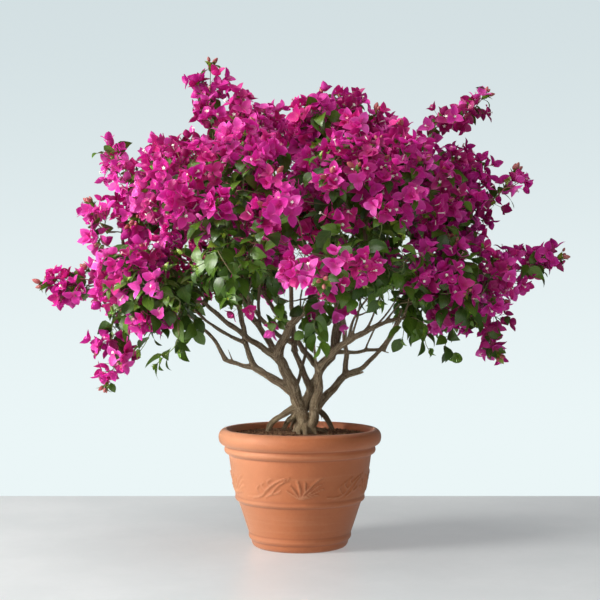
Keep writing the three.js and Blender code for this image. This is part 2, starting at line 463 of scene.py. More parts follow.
@dataclass(frozen=True)
class PottingSoil(Finish):
    """Dark crumbly soil with paler specks of bark and grit."""

    damp: Colour = linear(80, 55, 39)
    dry: Colour = linear(182, 142, 106)

    def material(self, effects: Effects) -> bpy.types.Material:
        """Builds it from the shared effects.

        Args:
            effects: The shared effects.

        Returns:
            The material.
        """
        material, sheet, shader = self.begin()
        mottle = sheet.group(effects.mottle, Vector=sheet.place(), Broad=60.0, Fine=420.0, Contrast=0.6)
        mix = sheet.times(mottle.outputs["Blotches"], mottle.outputs["Grain"])
        sheet.feed(shader.inputs["Base Color"], sheet.colour(mix, self.damp, self.dry))
        sheet.bump(shader, mottle.outputs["Grain"], 0.6, 0.002)
        shader.inputs["Specular IOR Level"].default_value = 0.2
        return material


@dataclass(frozen=True)
class Bark(Finish):
    """Grey-brown bark with long streaks, painted shade in its furrows and a paler green tinge low down, partly moss
    and partly painted light.
    """

    pale: Colour = linear(218, 200, 166)
    # The colour of the painted shade in the furrows.
    brown: Colour = linear(120, 95, 70)
    furrow: Colour = linear(58, 43, 31)
    # Paler green of the low stems: partly moss, partly painted light.
    moss_and_painted_light: Colour = linear(166, 148, 108)

    def material(self, effects: Effects) -> bpy.types.Material:
        """Builds it; the piece has "grain", along and round each limb, and "furrow" attributes.

        Args:
            effects: The shared effects.

        Returns:
            The material.
        """
        material, sheet, shader = self.begin()
        grain = sheet.attribute("grain").outputs["Vector"]
        streaks = sheet.group(effects.mottle, Vector=grain, Broad=4.0, Fine=15.0, Contrast=0.6)
        blotches = sheet.group(effects.mottle, Vector=sheet.place(), Broad=22.0, Fine=150.0, Contrast=0.3)
        furrow = sheet.attribute("furrow").outputs["Fac"]
        base = sheet.colour(streaks.outputs["Blotches"], self.brown, self.pale)
        base = sheet.colour(sheet.times(blotches.outputs["Blotches"], 0.4), base, self.brown)
        # Darker in the furrows: painted shade.
        base = sheet.colour(sheet.times(sheet.span(furrow, 0.45, 0.95), 0.8), base, self.furrow)
        # Paler and greener low on the stems: partly moss, partly painted light.
        low = sheet.span(sheet.parts(sheet.place())[2], 0.27, 0.46, 1.0, 0.0)
        low_moss_and_light = sheet.times(sheet.times(low, blotches.outputs["Blotches"]), 0.45)
        base = sheet.colour(low_moss_and_light, base, self.moss_and_painted_light)
        sheet.feed(shader.inputs["Base Color"], base)
        sheet.bump(shader, streaks.outputs["Grain"], 0.9, 0.003)
        shader.inputs["Specular IOR Level"].default_value = 0.25
        return material


@dataclass(frozen=True)
class Blade(Finish):
    """A thin blade that lets some light through: a leaf or a bract of one tint."""

    tint: Colour
    base: Colour
    rim: Colour
    vein: Colour
    glow: float
    rib_width: float
    vein_count: float
    vein_slant: float
    vein_strength: float

    def material(self, effects: Effects) -> bpy.types.Material:
        """Builds it from the shared blade lines on the piece's own map.

        Args:
            effects: The shared effects.

        Returns:
            The material.
        """
        material, sheet, shader = self.begin()
        lines = sheet.group(
            effects.blade,
            Map=sheet.node("ShaderNodeUVMap", uv_map=CELL_MAP).outputs[0],
            Rib_width=self.rib_width,
            Vein_count=self.vein_count,
            Vein_slant=self.vein_slant,
        ).outputs
        # Towards its rim the blade takes the rim colour; on the bracts that paler rim is partly their own tint and
        # partly a painted highlight.
        colour = sheet.colour(sheet.times(lines["Edge"], 0.45), self.tint, self.rim)
        colour = sheet.colour(sheet.span(lines["Along"], 0.0, 0.4, 0.8, 0.0), colour, self.base)
        clouds = sheet.times(lines["Clouds"], 0.2)
        colour = sheet.colour(clouds, colour, self.base)
        marks = sheet.math("MAXIMUM", lines["Rib"], sheet.times(lines["Veins"], 0.6))
        colour = sheet.colour(sheet.times(marks, self.vein_strength), colour, self.vein)
        sheet.feed(shader.inputs["Base Color"], colour)
        through = sheet.node("ShaderNodeBsdfTranslucent")
        sheet.feed(through.inputs["Color"], colour)
        both = sheet.node("ShaderNodeMixShader")
        both.inputs[0].default_value = self.glow
        sheet.feed(both.inputs[1], shader.outputs[0])
        sheet.feed(both.inputs[2], through.outputs[0])
        sheet.feed(material.node_tree.nodes["Material Output"].inputs["Surface"], both.outputs[0])
        return material


@dataclass(frozen=True)
class Flesh(Finish):
    """A small solid thing of one tint: stalk, bud or flower, a little mottled on its own map."""

    tint: Colour
    shade: Colour

    def material(self, effects: Effects) -> bpy.types.Material:
        """Builds it from the shared blade lines on the piece's own map.

        Args:
            effects: The shared effects.

        Returns:
            The material.
        """
        material, sheet, shader = self.begin()
        lines = sheet.group(effects.blade, Map=sheet.node("ShaderNodeUVMap", uv_map=CELL_MAP).outputs[0]).outputs
        mix = sheet.math("ADD", sheet.times(lines["Clouds"], 0.5), sheet.times(lines["Rib"], 0.5))
        sheet.feed(shader.inputs["Base Color"], sheet.colour(mix, self.tint, self.shade))
        return material


def bract_finish(name: str, tint: Colour) -> Blade:
    """Makes a bract's finish: redder at its base, paler at its rim, partly its own tint and partly a painted
    highlight, with fine darker veins.

    Args:
        name: The finish's name.
        tint: The bract's magenta.

    Returns:
        The finish.
    """
    red, green, blue = tint
    return Blade(
        name, 0.55, tint,
        base=(red * 0.8, green * 0.6, blue * 0.55),
        # The paler rim: partly the bract's own tint, partly a painted highlight.
        rim=(min(red * 1.15, 0.95), green * 2.5 + 0.085, min(blue * 1.4, 0.9)),
        vein=(red * 0.72, green * 0.5, blue * 0.62),
        glow=0.27, rib_width=0.09, vein_count=7.0, vein_slant=0.45, vein_strength=0.5,
    )


def leaf_finish(name: str, tint: Colour) -> Blade:
    """Makes a leaf's finish: a pale rib and side veins on green.

    Args:
        name: The finish's name.
        tint: The leaf's green.

    Returns:
        The finish.
    """
    red, green, blue = tint
    return Blade(
        name, 0.38, tint,
        base=(red * 0.9, green * 0.9, blue * 0.9),
        rim=(red * 0.85, green * 0.92, blue * 0.8),
        vein=(red * 1.7 + 0.02, green * 1.45 + 0.02, blue * 1.5 + 0.01),
        glow=0.16, rib_width=0.1, vein_count=5.0, vein_slant=0.4, vein_strength=0.55,
    )


class BractTint(Enum):
    """The magentas of the bracts, from the light side's to the shade's."""

    MAGENTA = (0.76, 0.024, 0.41)
    DEEP = (0.67, 0.014, 0.31)
    PURPLE = (0.64, 0.014, 0.345)
    PINK = (0.84, 0.080, 0.52)
    RED = (0.75, 0.018, 0.30)
    WINE = (0.46, 0.008, 0.18)


class LeafTint(Enum):
    """The greens of the leaves, old to young."""

    GREEN = (0.076, 0.160, 0.012)
    DARK = (0.040, 0.094, 0.010)
    BRIGHT = (0.105, 0.215, 0.018)
    YELLOW = (0.230, 0.340, 0.035)


class ShootTint(Enum):
    """The skins of shoots and stalks."""

    GREEN = (0.16, 0.22, 0.06)
    OLIVE = (0.20, 0.17, 0.07)
    BROWN = (0.17, 0.11, 0.06)
    RED = (0.36, 0.09, 0.09)


# ---------------------------------------------------------------- meshes


def made_object(name: str, mesh: bpy.types.Mesh, materials: Iterable[bpy.types.Material]) -> bpy.types.Object:
    """Links a mesh as an object at the origin.

    Args:
        name: The piece's name.
        mesh: Its mesh.
        materials: Its materials, in the order of their numbers.

    Returns:
        The object.
    """
    for material in materials:
        mesh.materials.append(material)
    piece = bpy.data.objects.new(name, mesh)
    bpy.context.scene.collection.objects.link(piece)
    return piece


def settle(piece: bpy.types.Object, slot: str, nodes: Iterable[str]) -> None:
    """Rides a piece on the plant and reports it.

    Args:
        piece: The finished piece.
        slot: The finish slot that it belongs to; not used.
        nodes: The frame's nodes that it stands for.
    """
    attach(piece, BODY)
    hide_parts(*nodes)
    mesh = piece.data
    mesh.calc_loop_triangles()
    LOG.info("%s: %d triangles", piece.name, len(mesh.loop_triangles))


def mesh_of(bm: bmesh.types.BMesh, name: str) -> bpy.types.Mesh:
    """Makes a mesh of a bmesh and frees it.

    Args:
        bm: The finished shape.
        name: The mesh's name.

    Returns:
        The mesh.
    """
    mesh = bpy.data.meshes.new(name)
    bm.to_mesh(mesh)
    bm.free()
    return mesh


def turned_skin(profile: Iterable[tuple[float, float]], segments: int) -> bmesh.types.BMesh:
    """Turns a profile round the Z axis.

    Args:
        profile: Radii and heights, in metres.
        segments: The number of steps round.

    Returns:
        The skin, with its seam and its poles closed.
    """
    bm = bmesh.new()
    ring = [bm.verts.new((radius, 0, height)) for radius, height in profile]
    edges = [bm.edges.new(pair) for pair in zip(ring, ring[1:])]
    bmesh.ops.spin(
        bm, geom=ring + edges, cent=(0, 0, 0), axis=(0, 0, 1), angle=math.tau, steps=segments, use_merge=True
    )
    bmesh.ops.remove_doubles(bm, verts=bm.verts, dist=WELD)
    return bm


def put_map(bm: bmesh.types.BMesh, place: Callable[[Vector], tuple[float, float]]) -> None:
    """Gives each corner its place on the map.

    Args:
        bm: The shape.
        place: Finds the place, from 0 to 1 each way, from where the corner's vertex stands.
    """
    layer = bm.loops.layers.uv.verify()
    for face in bm.faces:
        for loop in face.loops:
            loop[layer].uv = place(loop.vert.co)


def points_of(mesh: bpy.types.Mesh) -> np.ndarray:
    """Reads a mesh's vertices.

    Args:
        mesh: The mesh.

    Returns:
        (n, 3) their places.
    """
    found = np.empty(len(mesh.vertices) * 3)
    mesh.vertices.foreach_get("co", found)
    return found.reshape(-1, 3)


def directions_of(mesh: bpy.types.Mesh) -> np.ndarray:
    """Reads a mesh's vertex normals.

    Args:
        mesh: The mesh.

    Returns:
        (n, 3) the normals.
    """
    found = np.empty(len(mesh.vertices) * 3, np.float32)
    mesh.vertex_normals.foreach_get("vector", found)
    return found.reshape(-1, 3).astype(float)


def move_points(mesh: bpy.types.Mesh, points: np.ndarray) -> None:
    """Puts a mesh's vertices at these points."""
    mesh.vertices.foreach_set("co", np.asarray(points, np.float32).ravel())
    mesh.update()


def put_attribute(mesh: bpy.types.Mesh, name: str, values: np.ndarray) -> None:
    """Stores an attribute on the vertices.

    Args:
        mesh: The piece's mesh.
        name: The attribute's name.
        values: A number or a vector for each vertex.
    """
    kind, label = ("FLOAT_VECTOR", "vector") if values.ndim == 2 else ("FLOAT", "value")
    layer = mesh.attributes.new(name, kind, "POINT")
    layer.data.foreach_set(label, np.asarray(values, np.float32).ravel())


class Pattern(NamedTuple):
    """A small shape to be placed many times: its points, its triangles and their places on the map."""

    points: np.ndarray
    faces: np.ndarray
    places: np.ndarray

    @staticmethod
    def of(bm: bmesh.types.BMesh) -> "Pattern":
        """Takes the shape and its map from a bmesh, and frees it.

        Args:
            bm: The shape, with its map.

        Returns:
            The pattern, in triangles.
        """
        bmesh.ops.triangulate(bm, faces=bm.faces)
        bm.verts.index_update()
        layer = bm.loops.layers.uv.verify()
        points = np.array([v.co[:] for v in bm.verts])
        faces = np.array([[loop.vert.index for loop in f.loops] for f in bm.faces])
        places = np.array([[loop[layer].uv[:] for loop in f.loops] for f in bm.faces])
        bm.free()
        return Pattern(points, faces, places)

    @staticmethod
    def joined(patterns: Sequence["Pattern"]) -> "Pattern":
        """Joins several shapes.

        Args:
            patterns: The shapes.

        Returns:
            One shape.
        """
        starts = np.cumsum([0] + [len(p.points) for p in patterns[:-1]])
        return Pattern(
            np.concatenate([p.points for p in patterns]),
            np.concatenate([p.faces + s for p, s in zip(patterns, starts)]),
            np.concatenate([p.places for p in patterns]),
        )

    def turned(self, turn: Matrix) -> "Pattern":
        """The shape turned or scaled."""
        return Pattern(self.points @ np.array(turn.to_3x3()).T, self.faces, self.places)


class Heap:
    """Gathers many small shapes and makes one mesh of them."""

    def __init__(self, name: str) -> None:
        """Takes the piece's name.

        Args:
            name: The name.
        """
        self.name = name
        self.count = 0
        self.points: list[np.ndarray] = []
        self.faces: list[np.ndarray] = []
        self.places: list[np.ndarray] = []
        self.tints: list[np.ndarray] = []

    def add(self, points: np.ndarray, faces: np.ndarray, places: np.ndarray, tints: np.ndarray) -> None:
        """Adds triangles.

        Args:
            points: (n, 3) points.
            faces: (m, 3) indices into them.
            places: (m, 3, 2) places in the tint's cell, from 0 to 1.
            tints: (m,) tint numbers.
        """
        cell = np.stack([tints % CELLS, tints // CELLS], 1)[:, None]
        inside = CELL_EDGE + (1 - 2 * CELL_EDGE) * np.clip(places, 0, 1)
        self.points.append(points)
        self.faces.append(faces + self.count)
        self.places.append((cell + inside) / CELLS)
        self.tints.append(tints)
        self.count += len(points)

    def scatter(self, pattern: Pattern, axes: np.ndarray, origins: np.ndarray, tints: np.ndarray) -> None:
        """Places a pattern many times.

        Args:
            pattern: The shape.
            axes: (n, 3, 3) its X, Y and Z axes in each place as rows, scaled.
            origins: (n, 3) where it goes.
            tints: (n,) tint numbers.
        """
        many = len(origins)
        if not many:
            return
        points = np.einsum("pi,nij->npj", pattern.points, axes) + origins[:, None]
        faces = pattern.faces[None] + (np.arange(many) * len(pattern.points))[:, None, None]
        places = np.broadcast_to(pattern.places, (many, *pattern.places.shape))
        each = len(pattern.faces)
        self.add(points.reshape(-1, 3), faces.reshape(-1, 3), places.reshape(-1, 3, 2), np.repeat(tints, each))

    def tubes(self, lines: np.ndarray, radii: np.ndarray, sides: int, tints: np.ndarray) -> None:
        """Adds tapering tubes along lines of equally many points.

        Args:
            lines: (n, m, 3) points.
            radii: (n, m) radii.
            sides: The number of sides.
            tints: (n,) tint numbers.
        """
        many, rings = radii.shape
        along = unit(np.gradient(lines, axis=1))
        spread = np.einsum("nmi,nmj->nij", along, along)
        aside = np.linalg.eigh(spread)[1][:, :, 0][:, None]
        first = unit(np.cross(along, aside))
        second = np.cross(along, first)
        angle = np.arange(sides) * math.tau / sides
        ring = first[:, :, None] * np.cos(angle)[:, None] + second[:, :, None] * np.sin(angle)[:, None]
        points = lines[:, :, None] + ring * radii[:, :, None, None]
        grid = np.arange(rings * sides).reshape(rings, sides)
        low, high = grid[:-1], grid[1:]
        near, far = np.roll(low, -1, 1), np.roll(high, -1, 1)
        quads = np.stack([low, near, far, high], -1).reshape(-1, 4)
        u = np.arange(sides + 1) / sides
        v = np.linspace(0, 1, rings)
        corner = [(0, 0), (1, 0), (1, 1), (0, 1)]
        map_quads = np.stack(
            [
                np.stack(np.broadcast_arrays(u[None, i : i + sides], v[j : j + rings - 1, None]), -1)
                for i, j in corner
            ],
            -2,
        ).reshape(-1, 4, 2)
        tris = np.concatenate([quads[:, [0, 1, 2]], quads[:, [0, 2, 3]]])
        map_tris = np.concatenate([map_quads[:, [0, 1, 2]], map_quads[:, [0, 2, 3]]])
        cap = np.array([[grid[-1, 0], grid[-1, k], grid[-1, k + 1]] for k in range(1, sides - 1)])
        cap_map = np.tile([[[0.4, 0.9], [0.6, 0.9], [0.5, 1.0]]], (len(cap), 1, 1))
        tris, map_tris = np.concatenate([tris, cap]), np.concatenate([map_tris, cap_map])
        faces = tris[None] + (np.arange(many) * rings * sides)[:, None, None]
        places = np.broadcast_to(map_tris, (many, *map_tris.shape))
        self.add(
            points.reshape(-1, 3), faces.reshape(-1, 3), places.reshape(-1, 3, 2), np.repeat(tints, len(tris))
        )

    def build(self, materials: Sequence[bpy.types.Material]) -> bpy.types.Object:
        """Makes the piece.

        Args:
            materials: One for each tint.

        Returns:
            The piece, at the origin.
        """
        points, faces = np.concatenate(self.points), np.concatenate(self.faces)
        mesh = bpy.data.meshes.new(self.name)
        mesh.vertices.add(len(points))
        mesh.vertices.foreach_set("co", points.astype(np.float32).ravel())
        mesh.loops.add(faces.size)
        mesh.loops.foreach_set("vertex_index", faces.astype(np.int32).ravel())
        mesh.polygons.add(len(faces))
        mesh.polygons.foreach_set("loop_start", np.arange(0, faces.size, 3, dtype=np.int32))
        piece = made_object(self.name, mesh, materials)
        mesh.polygons.foreach_set("material_index", np.concatenate(self.tints).astype(np.int32))
        layer = mesh.uv_layers.new(name=CELL_MAP)
        layer.uv.foreach_set("vector", np.concatenate(self.places).astype(np.float32).ravel())
        mesh.update(calc_edges=True)
        mesh.shade_smooth()
        return piece


def facing(forward: np.ndarray, up: np.ndarray, sizes: np.ndarray) -> np.ndarray:
    """Axes for things that point and face given ways.

    Args:
        forward: (n, 3) the way each Y axis points.
        up: (n, 3) the way each Z axis is as near as it can be.
        sizes: (n,) how long the axes are.

    Returns:
        (n, 3, 3) the axes as rows.
    """
    y = unit(forward)
    x = unit(np.cross(y, up))
    z = np.cross(x, y)
    return np.stack([x, y, z], 1) * sizes[:, None, None]


# ---------------------------------------------------------------- the pot


@dataclass(frozen=True)
class Stroke:
    """A raised stroke on the pot's wall: points as degrees round and millimetres up, and its half width."""

    points: tuple[tuple[float, float], ...]
    half_width: float


@dataclass
class Pot:
    """A turned terracotta pot with a rolled rim, two bands and raised fronds round its wall.

    The profiles and the mouldings are in millimetres, the rest in metres.
    """

    outside: Sequence[tuple[float, float]] = (
        (0, 0), (110, 0), (115, 2), (118.5, 8), (120, 16), (123, 19), (126, 23), (126.5, 29), (125.4, 33),
        (127, 38), (151.4, 110), (154, 113), (158.6, 115), (160.6, 118.5), (160.2, 122), (158.6, 125), (159.6, 129),
        (172, 200), (175, 221), (176.5, 226), (182, 228.5), (186, 232), (187.2, 238), (185.5, 243), (184.5, 246),
        (187, 248), (194, 251), (199, 257), (200.8, 266), (200.2, 274), (197, 281), (192, 286), (186, 288.3),
        (180, 287.5), (175.5, 283),
    )
    inside: Sequence[tuple[float, float]] = ((174, 272), (170, 238), (147, 110), (112, 22), (0, 22))
    segments: int = 360
    row_height: float = 0.0028
    groove_heights: Sequence[float] = (18, 35, 112, 126.5, 226, 246)
    groove_width: float = 2.6
    crest_heights: Sequence[float] = (26, 119, 237, 284)
    crest_width: float = 3.5
    unevenness: float = 0.0007
    wall_heights: tuple[float, float] = (0.126, 0.204)
    wall_reach: float = 0.156
    wall_radius: float = 0.165
    repeats: int = 5
    first_stroke: float = 50.0
    stroke_rise: float = 0.0036
    stroke_slimness: float = 0.7
    strokes: Sequence[Stroke] = (
        Stroke(((-49, 137), (-41, 136), (-33, 143), (-27, 160), (-18, 178), (-8, 187)), 0.0030),
        Stroke(((-31, 136), (-25, 146), (-20, 162), (-14, 176), (-9, 182)), 0.0024),
        Stroke(((-35, 146), (-38, 158), (-35, 167)), 0.0022),
        Stroke(((-30, 156), (-33, 168), (-29, 176)), 0.0022),
        Stroke(((-25, 166), (-27, 177), (-22, 184)), 0.0020),
        Stroke(((-26, 145), (-19, 150), (-15, 160)), 0.0020),
        Stroke(((0, 136), (-4, 152), (-8, 170)), 0.0026),
        Stroke(((0, 136), (-6, 146), (-12, 158)), 0.0022),
        Stroke(((0, 136), (0, 156), (-2.5, 184)), 0.0034),
        Stroke(((0, 136), (4, 156), (4, 176)), 0.0026),
        Stroke(((0, 136), (6, 158), (14, 180), (19, 187)), 0.0030),
        Stroke(((0, 136), (8, 152), (15, 168), (20, 173)), 0.0026),
        Stroke(((0, 136), (9, 147), (16, 157), (20, 160)), 0.0024),
        Stroke(((0, 136), (8, 141), (14, 146), (18, 146)), 0.0022),
    )

    def build(self, finish: bpy.types.Material) -> bpy.types.Object:
        """Turns the pot, raises its fronds and dresses it.

        Args:
            finish: The fired clay.

        Returns:
            The pot.
        """
        bm = turned_skin(self._profile(), self.segments)
        bmesh.ops.recalc_face_normals(bm, faces=bm.faces)
        mesh = mesh_of(bm, "pot")
        points = points_of(mesh)
        lift = self._relief(points)
        out = unit(points * (1, 1, 0))
        uneven = np.array([noise.noise(Vector(p) * 14) for p in points]) * self.unevenness
        above_foot = points[:, 2] > 0.002
        move_points(mesh, points + out * (lift + uneven * above_foot)[:, None])
        # The relief value also drives the painted shade in the grooves and the painted highlight on the crests.
        put_attribute(mesh, "relief", np.clip(0.5 + lift / 0.0030 * 0.5 + self._mouldings(points), 0, 1))
        mesh.shade_smooth()
        piece = made_object("terracotta_pot", mesh, [finish])
        settle(piece, "terracotta", ["pot"])
        return piece

    def _profile(self) -> np.ndarray:
        """Works out the whole profile in metres.

        Returns:
            (n, 2) radii and heights, from the middle of the underside round to the floor inside.
        """
        outside = np.array(self.outside) * MM
        rows = [outside[:2]]
        for start, end in zip(outside[1:], outside[2:]):
            steps = max(1, round(float(np.linalg.norm(end - start)) / self.row_height))
            rows.append(start + (end - start) * (np.arange(1, steps + 1) / steps)[:, None])
        body = np.concatenate(rows)
        body[2:-1] = (body[1:-2] + 2 * body[2:-1] + body[3:]) / 4
        return np.concatenate([body, np.array(self.inside) * MM])

    def _relief(self, points: np.ndarray) -> np.ndarray:
        """Raises the fronds.

        Args:
            points: (n, 3) the pot's points.

        Returns:
            (n,) how far each point is raised, in metres.
        """
        period, radius = 360 / self.repeats, self.wall_radius
        low, high = self.wall_heights
        wall = (points[:, 2] > low) & (points[:, 2] < high)
        wall &= np.hypot(points[:, 0], points[:, 1]) > self.wall_reach
        degrees = np.degrees(np.arctan2(points[:, 0], -points[:, 1]))
        degrees = (degrees + self.first_stroke) % period - self.first_stroke
        spots = np.stack([np.radians(degrees) * radius, points[:, 2]], 1)[wall]
        lift = np.zeros(len(spots))
        for stroke in self.strokes:
            fixed = [(math.radians(degree) * radius, 0.0, height * MM) for degree, height in stroke.points]
            line = LimbLine.through(fixed, 24).points
            start, end = line[:-1, [0, 2]], line[1:, [0, 2]]
            run = end - start
            share = ((spots[:, None] - start) * run).sum(2) / (run * run).sum(1)
            share = np.clip(share, 0, 1)
            gaps = np.linalg.norm(spots[:, None] - start - run * share[:, :, None], axis=2)
            nearest = gaps.argmin(1)
            place = (nearest + share[np.arange(len(spots)), nearest]) / len(run)
            taper = np.sin(np.pi * np.clip(0.12 + 0.88 * place, 0, 1)) ** 0.6
            width = np.maximum(self.stroke_slimness * stroke.half_width * taper, 1e-5)
            rise = self.stroke_rise * (1 - smoothstep(gaps.min(1) / width, 0.45, 1.15))
            lift = np.maximum(lift, rise)
        found = np.zeros(len(points))
        found[wall] = lift
        return found

    def _mouldings(self, points: np.ndarray) -> np.ndarray:
        """Finds the grooves beside the bands and rings, and their crests.

        Args:
            points: (n, 3) points of the pot.

        Returns:
            (n,) below 0 in the grooves, above 0 on the crests.
        """
        height = points[:, 2] / MM
        grooves = sum(np.exp(-(((height - h) / self.groove_width) ** 2)) for h in self.groove_heights)
        crests = sum(np.exp(-(((height - h) / self.crest_width) ** 2)) for h in self.crest_heights)
        return 0.25 * crests - 0.5 * grooves


# ---------------------------------------------------------------- lines of limbs


class LimbLine:
    """The line of a limb, sampled finely, with its length measured along it."""

    def __init__(self, points: np.ndarray, radii: np.ndarray | None = None) -> None:
        """Takes the points and their radii.

        Args:
            points: (n, 3) the points.
            radii: (n,) the limb's radius at each, if it is known.
        """
        self.points = np.asarray(points, float)
        self.radii = radii
        steps = np.linalg.norm(np.diff(self.points, axis=0), axis=1)
        self.run = np.concatenate([[0], np.cumsum(steps)])
        self.length = float(self.run[-1])

    @staticmethod
    def bowed(start: np.ndarray, tip: np.ndarray, bow: np.ndarray, count: int = 49) -> "LimbLine":
        """A bent line.

        Args:
            start: Where it starts.
            tip: Where it ends.
            bow: How far its middle stands off the straight line.
            count: The number of points.

        Returns:
            The line.
        """
        middle = (start + tip) / 2 + 2 * bow
        share = np.linspace(0, 1, count)[:, None]
        return LimbLine((1 - share) ** 2 * start + 2 * (1 - share) * share * middle + share**2 * tip)

    @staticmethod
    def through(points: Sequence[Sequence[float]], count: int) -> "LimbLine":
        """A smooth line.

        Args:
            points: The points that it runs through.
            count: The number of its own points.

        Returns:
            The line.
        """
        fixed = np.asarray(points, float)
        fixed = np.concatenate([[2 * fixed[0] - fixed[1]], fixed, [2 * fixed[-1] - fixed[-2]]])
        spots = np.linspace(0, len(points) - 1 - 1e-9, count)
        first = spots.astype(int)
        t = (spots - first)[:, None]
        a, b, c, d = (fixed[first + k] for k in range(4))
        return LimbLine(
            0.5 * (2 * b + (c - a) * t + (2 * a - 5 * b + 4 * c - d) * t**2 + (3 * b - a - 3 * c + d) * t**3)
        )

    def at(self, share: float) -> np.ndarray:
        """The point at a share of the length."""
        return np.array([np.interp(share * self.length, self.run, self.points[:, i]) for i in range(3)])

    def heading(self, share: float) -> np.ndarray:
        """The direction at a share of the length."""
        low, high = max(share - 0.03, 0.0), min(share + 0.03, 1.0)
        return unit(self.at(high) - self.at(low))

    def resampled(self, spacing: float) -> "LimbLine":
        """The same line, and its radii, with equal steps.

        Args:
            spacing: About how long the steps are.

        Returns:
            The line.
        """
        count = max(4, round(self.length / spacing))
        line = LimbLine(np.array([self.at(s) for s in np.linspace(0, 1, count)]))
        if self.radii is not None:
            line.radii = np.interp(line.run / line.length, self.run / self.length, self.radii)
        return line


class Limb(NamedTuple):
    """A stem, root or bough in millimetres: where it starts, its tip, its bow and its end radii.

    It starts at [x, y] on the soil, or on another limb at a share of that limb's length. The bow is how far
    its middle stands off the straight line.
    """

    name: str
    start: tuple
    tip: tuple[float, float, float]
    bow: tuple[float, float, float]
    radii: tuple[float, float]


FRAME_LIMBS = (
    Limb("trunk_left", (18, -8), (-59, -36, 474), (7, 2, 12), (16.5, 12)),
    Limb("trunk_right", (17, -14), (46, -28, 440), (9, -4, 2), (13, 9.8)),
    Limb("trunk_back", (-6, 30), (90, 62, 480), (-17, 4, -4), (14, 8.5)),
    Limb("root_left_outer", ("trunk_left", 0.34), (-86, 40, 262), (-8, 4, 16), (8.5, 6.5)),
    Limb("root_left_inner", ("trunk_left", 0.3), (-46, 70, 262), (-5, 2, 10), (7.5, 5.5)),
    Limb("root_right", ("trunk_back", 0.3), (86, 118, 262), (6, 4, 20), (8, 6.5)),
    Limb("bough_left_front", ("trunk_left", 0.97), (62, -150, 636), (-22, 12, -6), (11, 6.5)),
    Limb("bough_left_low", ("trunk_left", 0.5), (-114, -8, 441), (-3, 0, 4), (11, 8)),
    Limb("bough_left_reach", ("bough_left_low", 0.99), (-186, 6, 457), (-2, 0, -5), (6, 5)),
    Limb("bough_left_tip", ("bough_left_reach", 0.98), (-300, 30, 582), (13, 0, 4), (5.2, 3.6)),
    Limb("bough_left_riser", ("bough_left_low", 0.96), (-160, 50, 690), (-11, -4, 0), (7.5, 4.5)),
    Limb("bough_left_side", ("bough_left_riser", 0.25), (-268, 16, 586), (0, 0, -13), (5, 3.5)),
    Limb("bough_left_mid", ("trunk_left", 0.94), (-232, -80, 600), (6, 4, -12), (8.5, 4.5)),
    Limb("bough_left_high", ("trunk_left", 0.985), (-200, -30, 680), (10, 6, -4), (8.5, 5)),
    Limb("bough_centre_low", ("trunk_back", 0.5), (-13, 70, 478), (-2, 0, 0), (8, 7)),
    Limb("bough_centre", ("bough_centre_low", 0.98), (-26, 96, 680), (0, -4, 0), (7.2, 5)),
    Limb("bough_cross", ("bough_centre", 0.1), (-158, 96, 672), (-14, 0, -26), (6.5, 4)),
    Limb("bough_inner", ("trunk_left", 0.53), (33, 34, 600), (4, 6, -10), (5, 3)),
    Limb("bough_right", ("trunk_right", 0.975), (232, -110, 560), (-17, 10, 9), (10, 4.5)),
    Limb("bough_right_low", ("trunk_right", 0.42), (114, 18, 420), (-4, 0, -4), (11, 8)),
    Limb("bough_right_tip", ("bough_right_low", 0.97), (256, 50, 582), (8, 0, -28), (7, 3.5)),
    Limb("bough_right_riser", ("bough_right_low", 0.97), (84, -16, 640), (12, 0, 4), (6.5, 4.5)),
    Limb("bough_right_cross", ("trunk_back", 0.96), (218, 64, 484), (0, 0, -2), (5.5, 4)),
    Limb("bough_right_rise", ("bough_right_cross", 0.97), (272, 66, 590), (2, 0, 0), (4, 3)),
    Limb("bough_back_right", ("trunk_back", 0.98), (100, 130, 640), (-4, 0, 0), (8.5, 5)),
    Limb("bough_back_left", ("trunk_back", 0.72), (-110, 260, 640), (14, 10, -24), (8, 5)),
    Limb("bough_back_far", ("trunk_back", 0.9), (130, 300, 640), (0, 20, -30), (8, 5)),
)

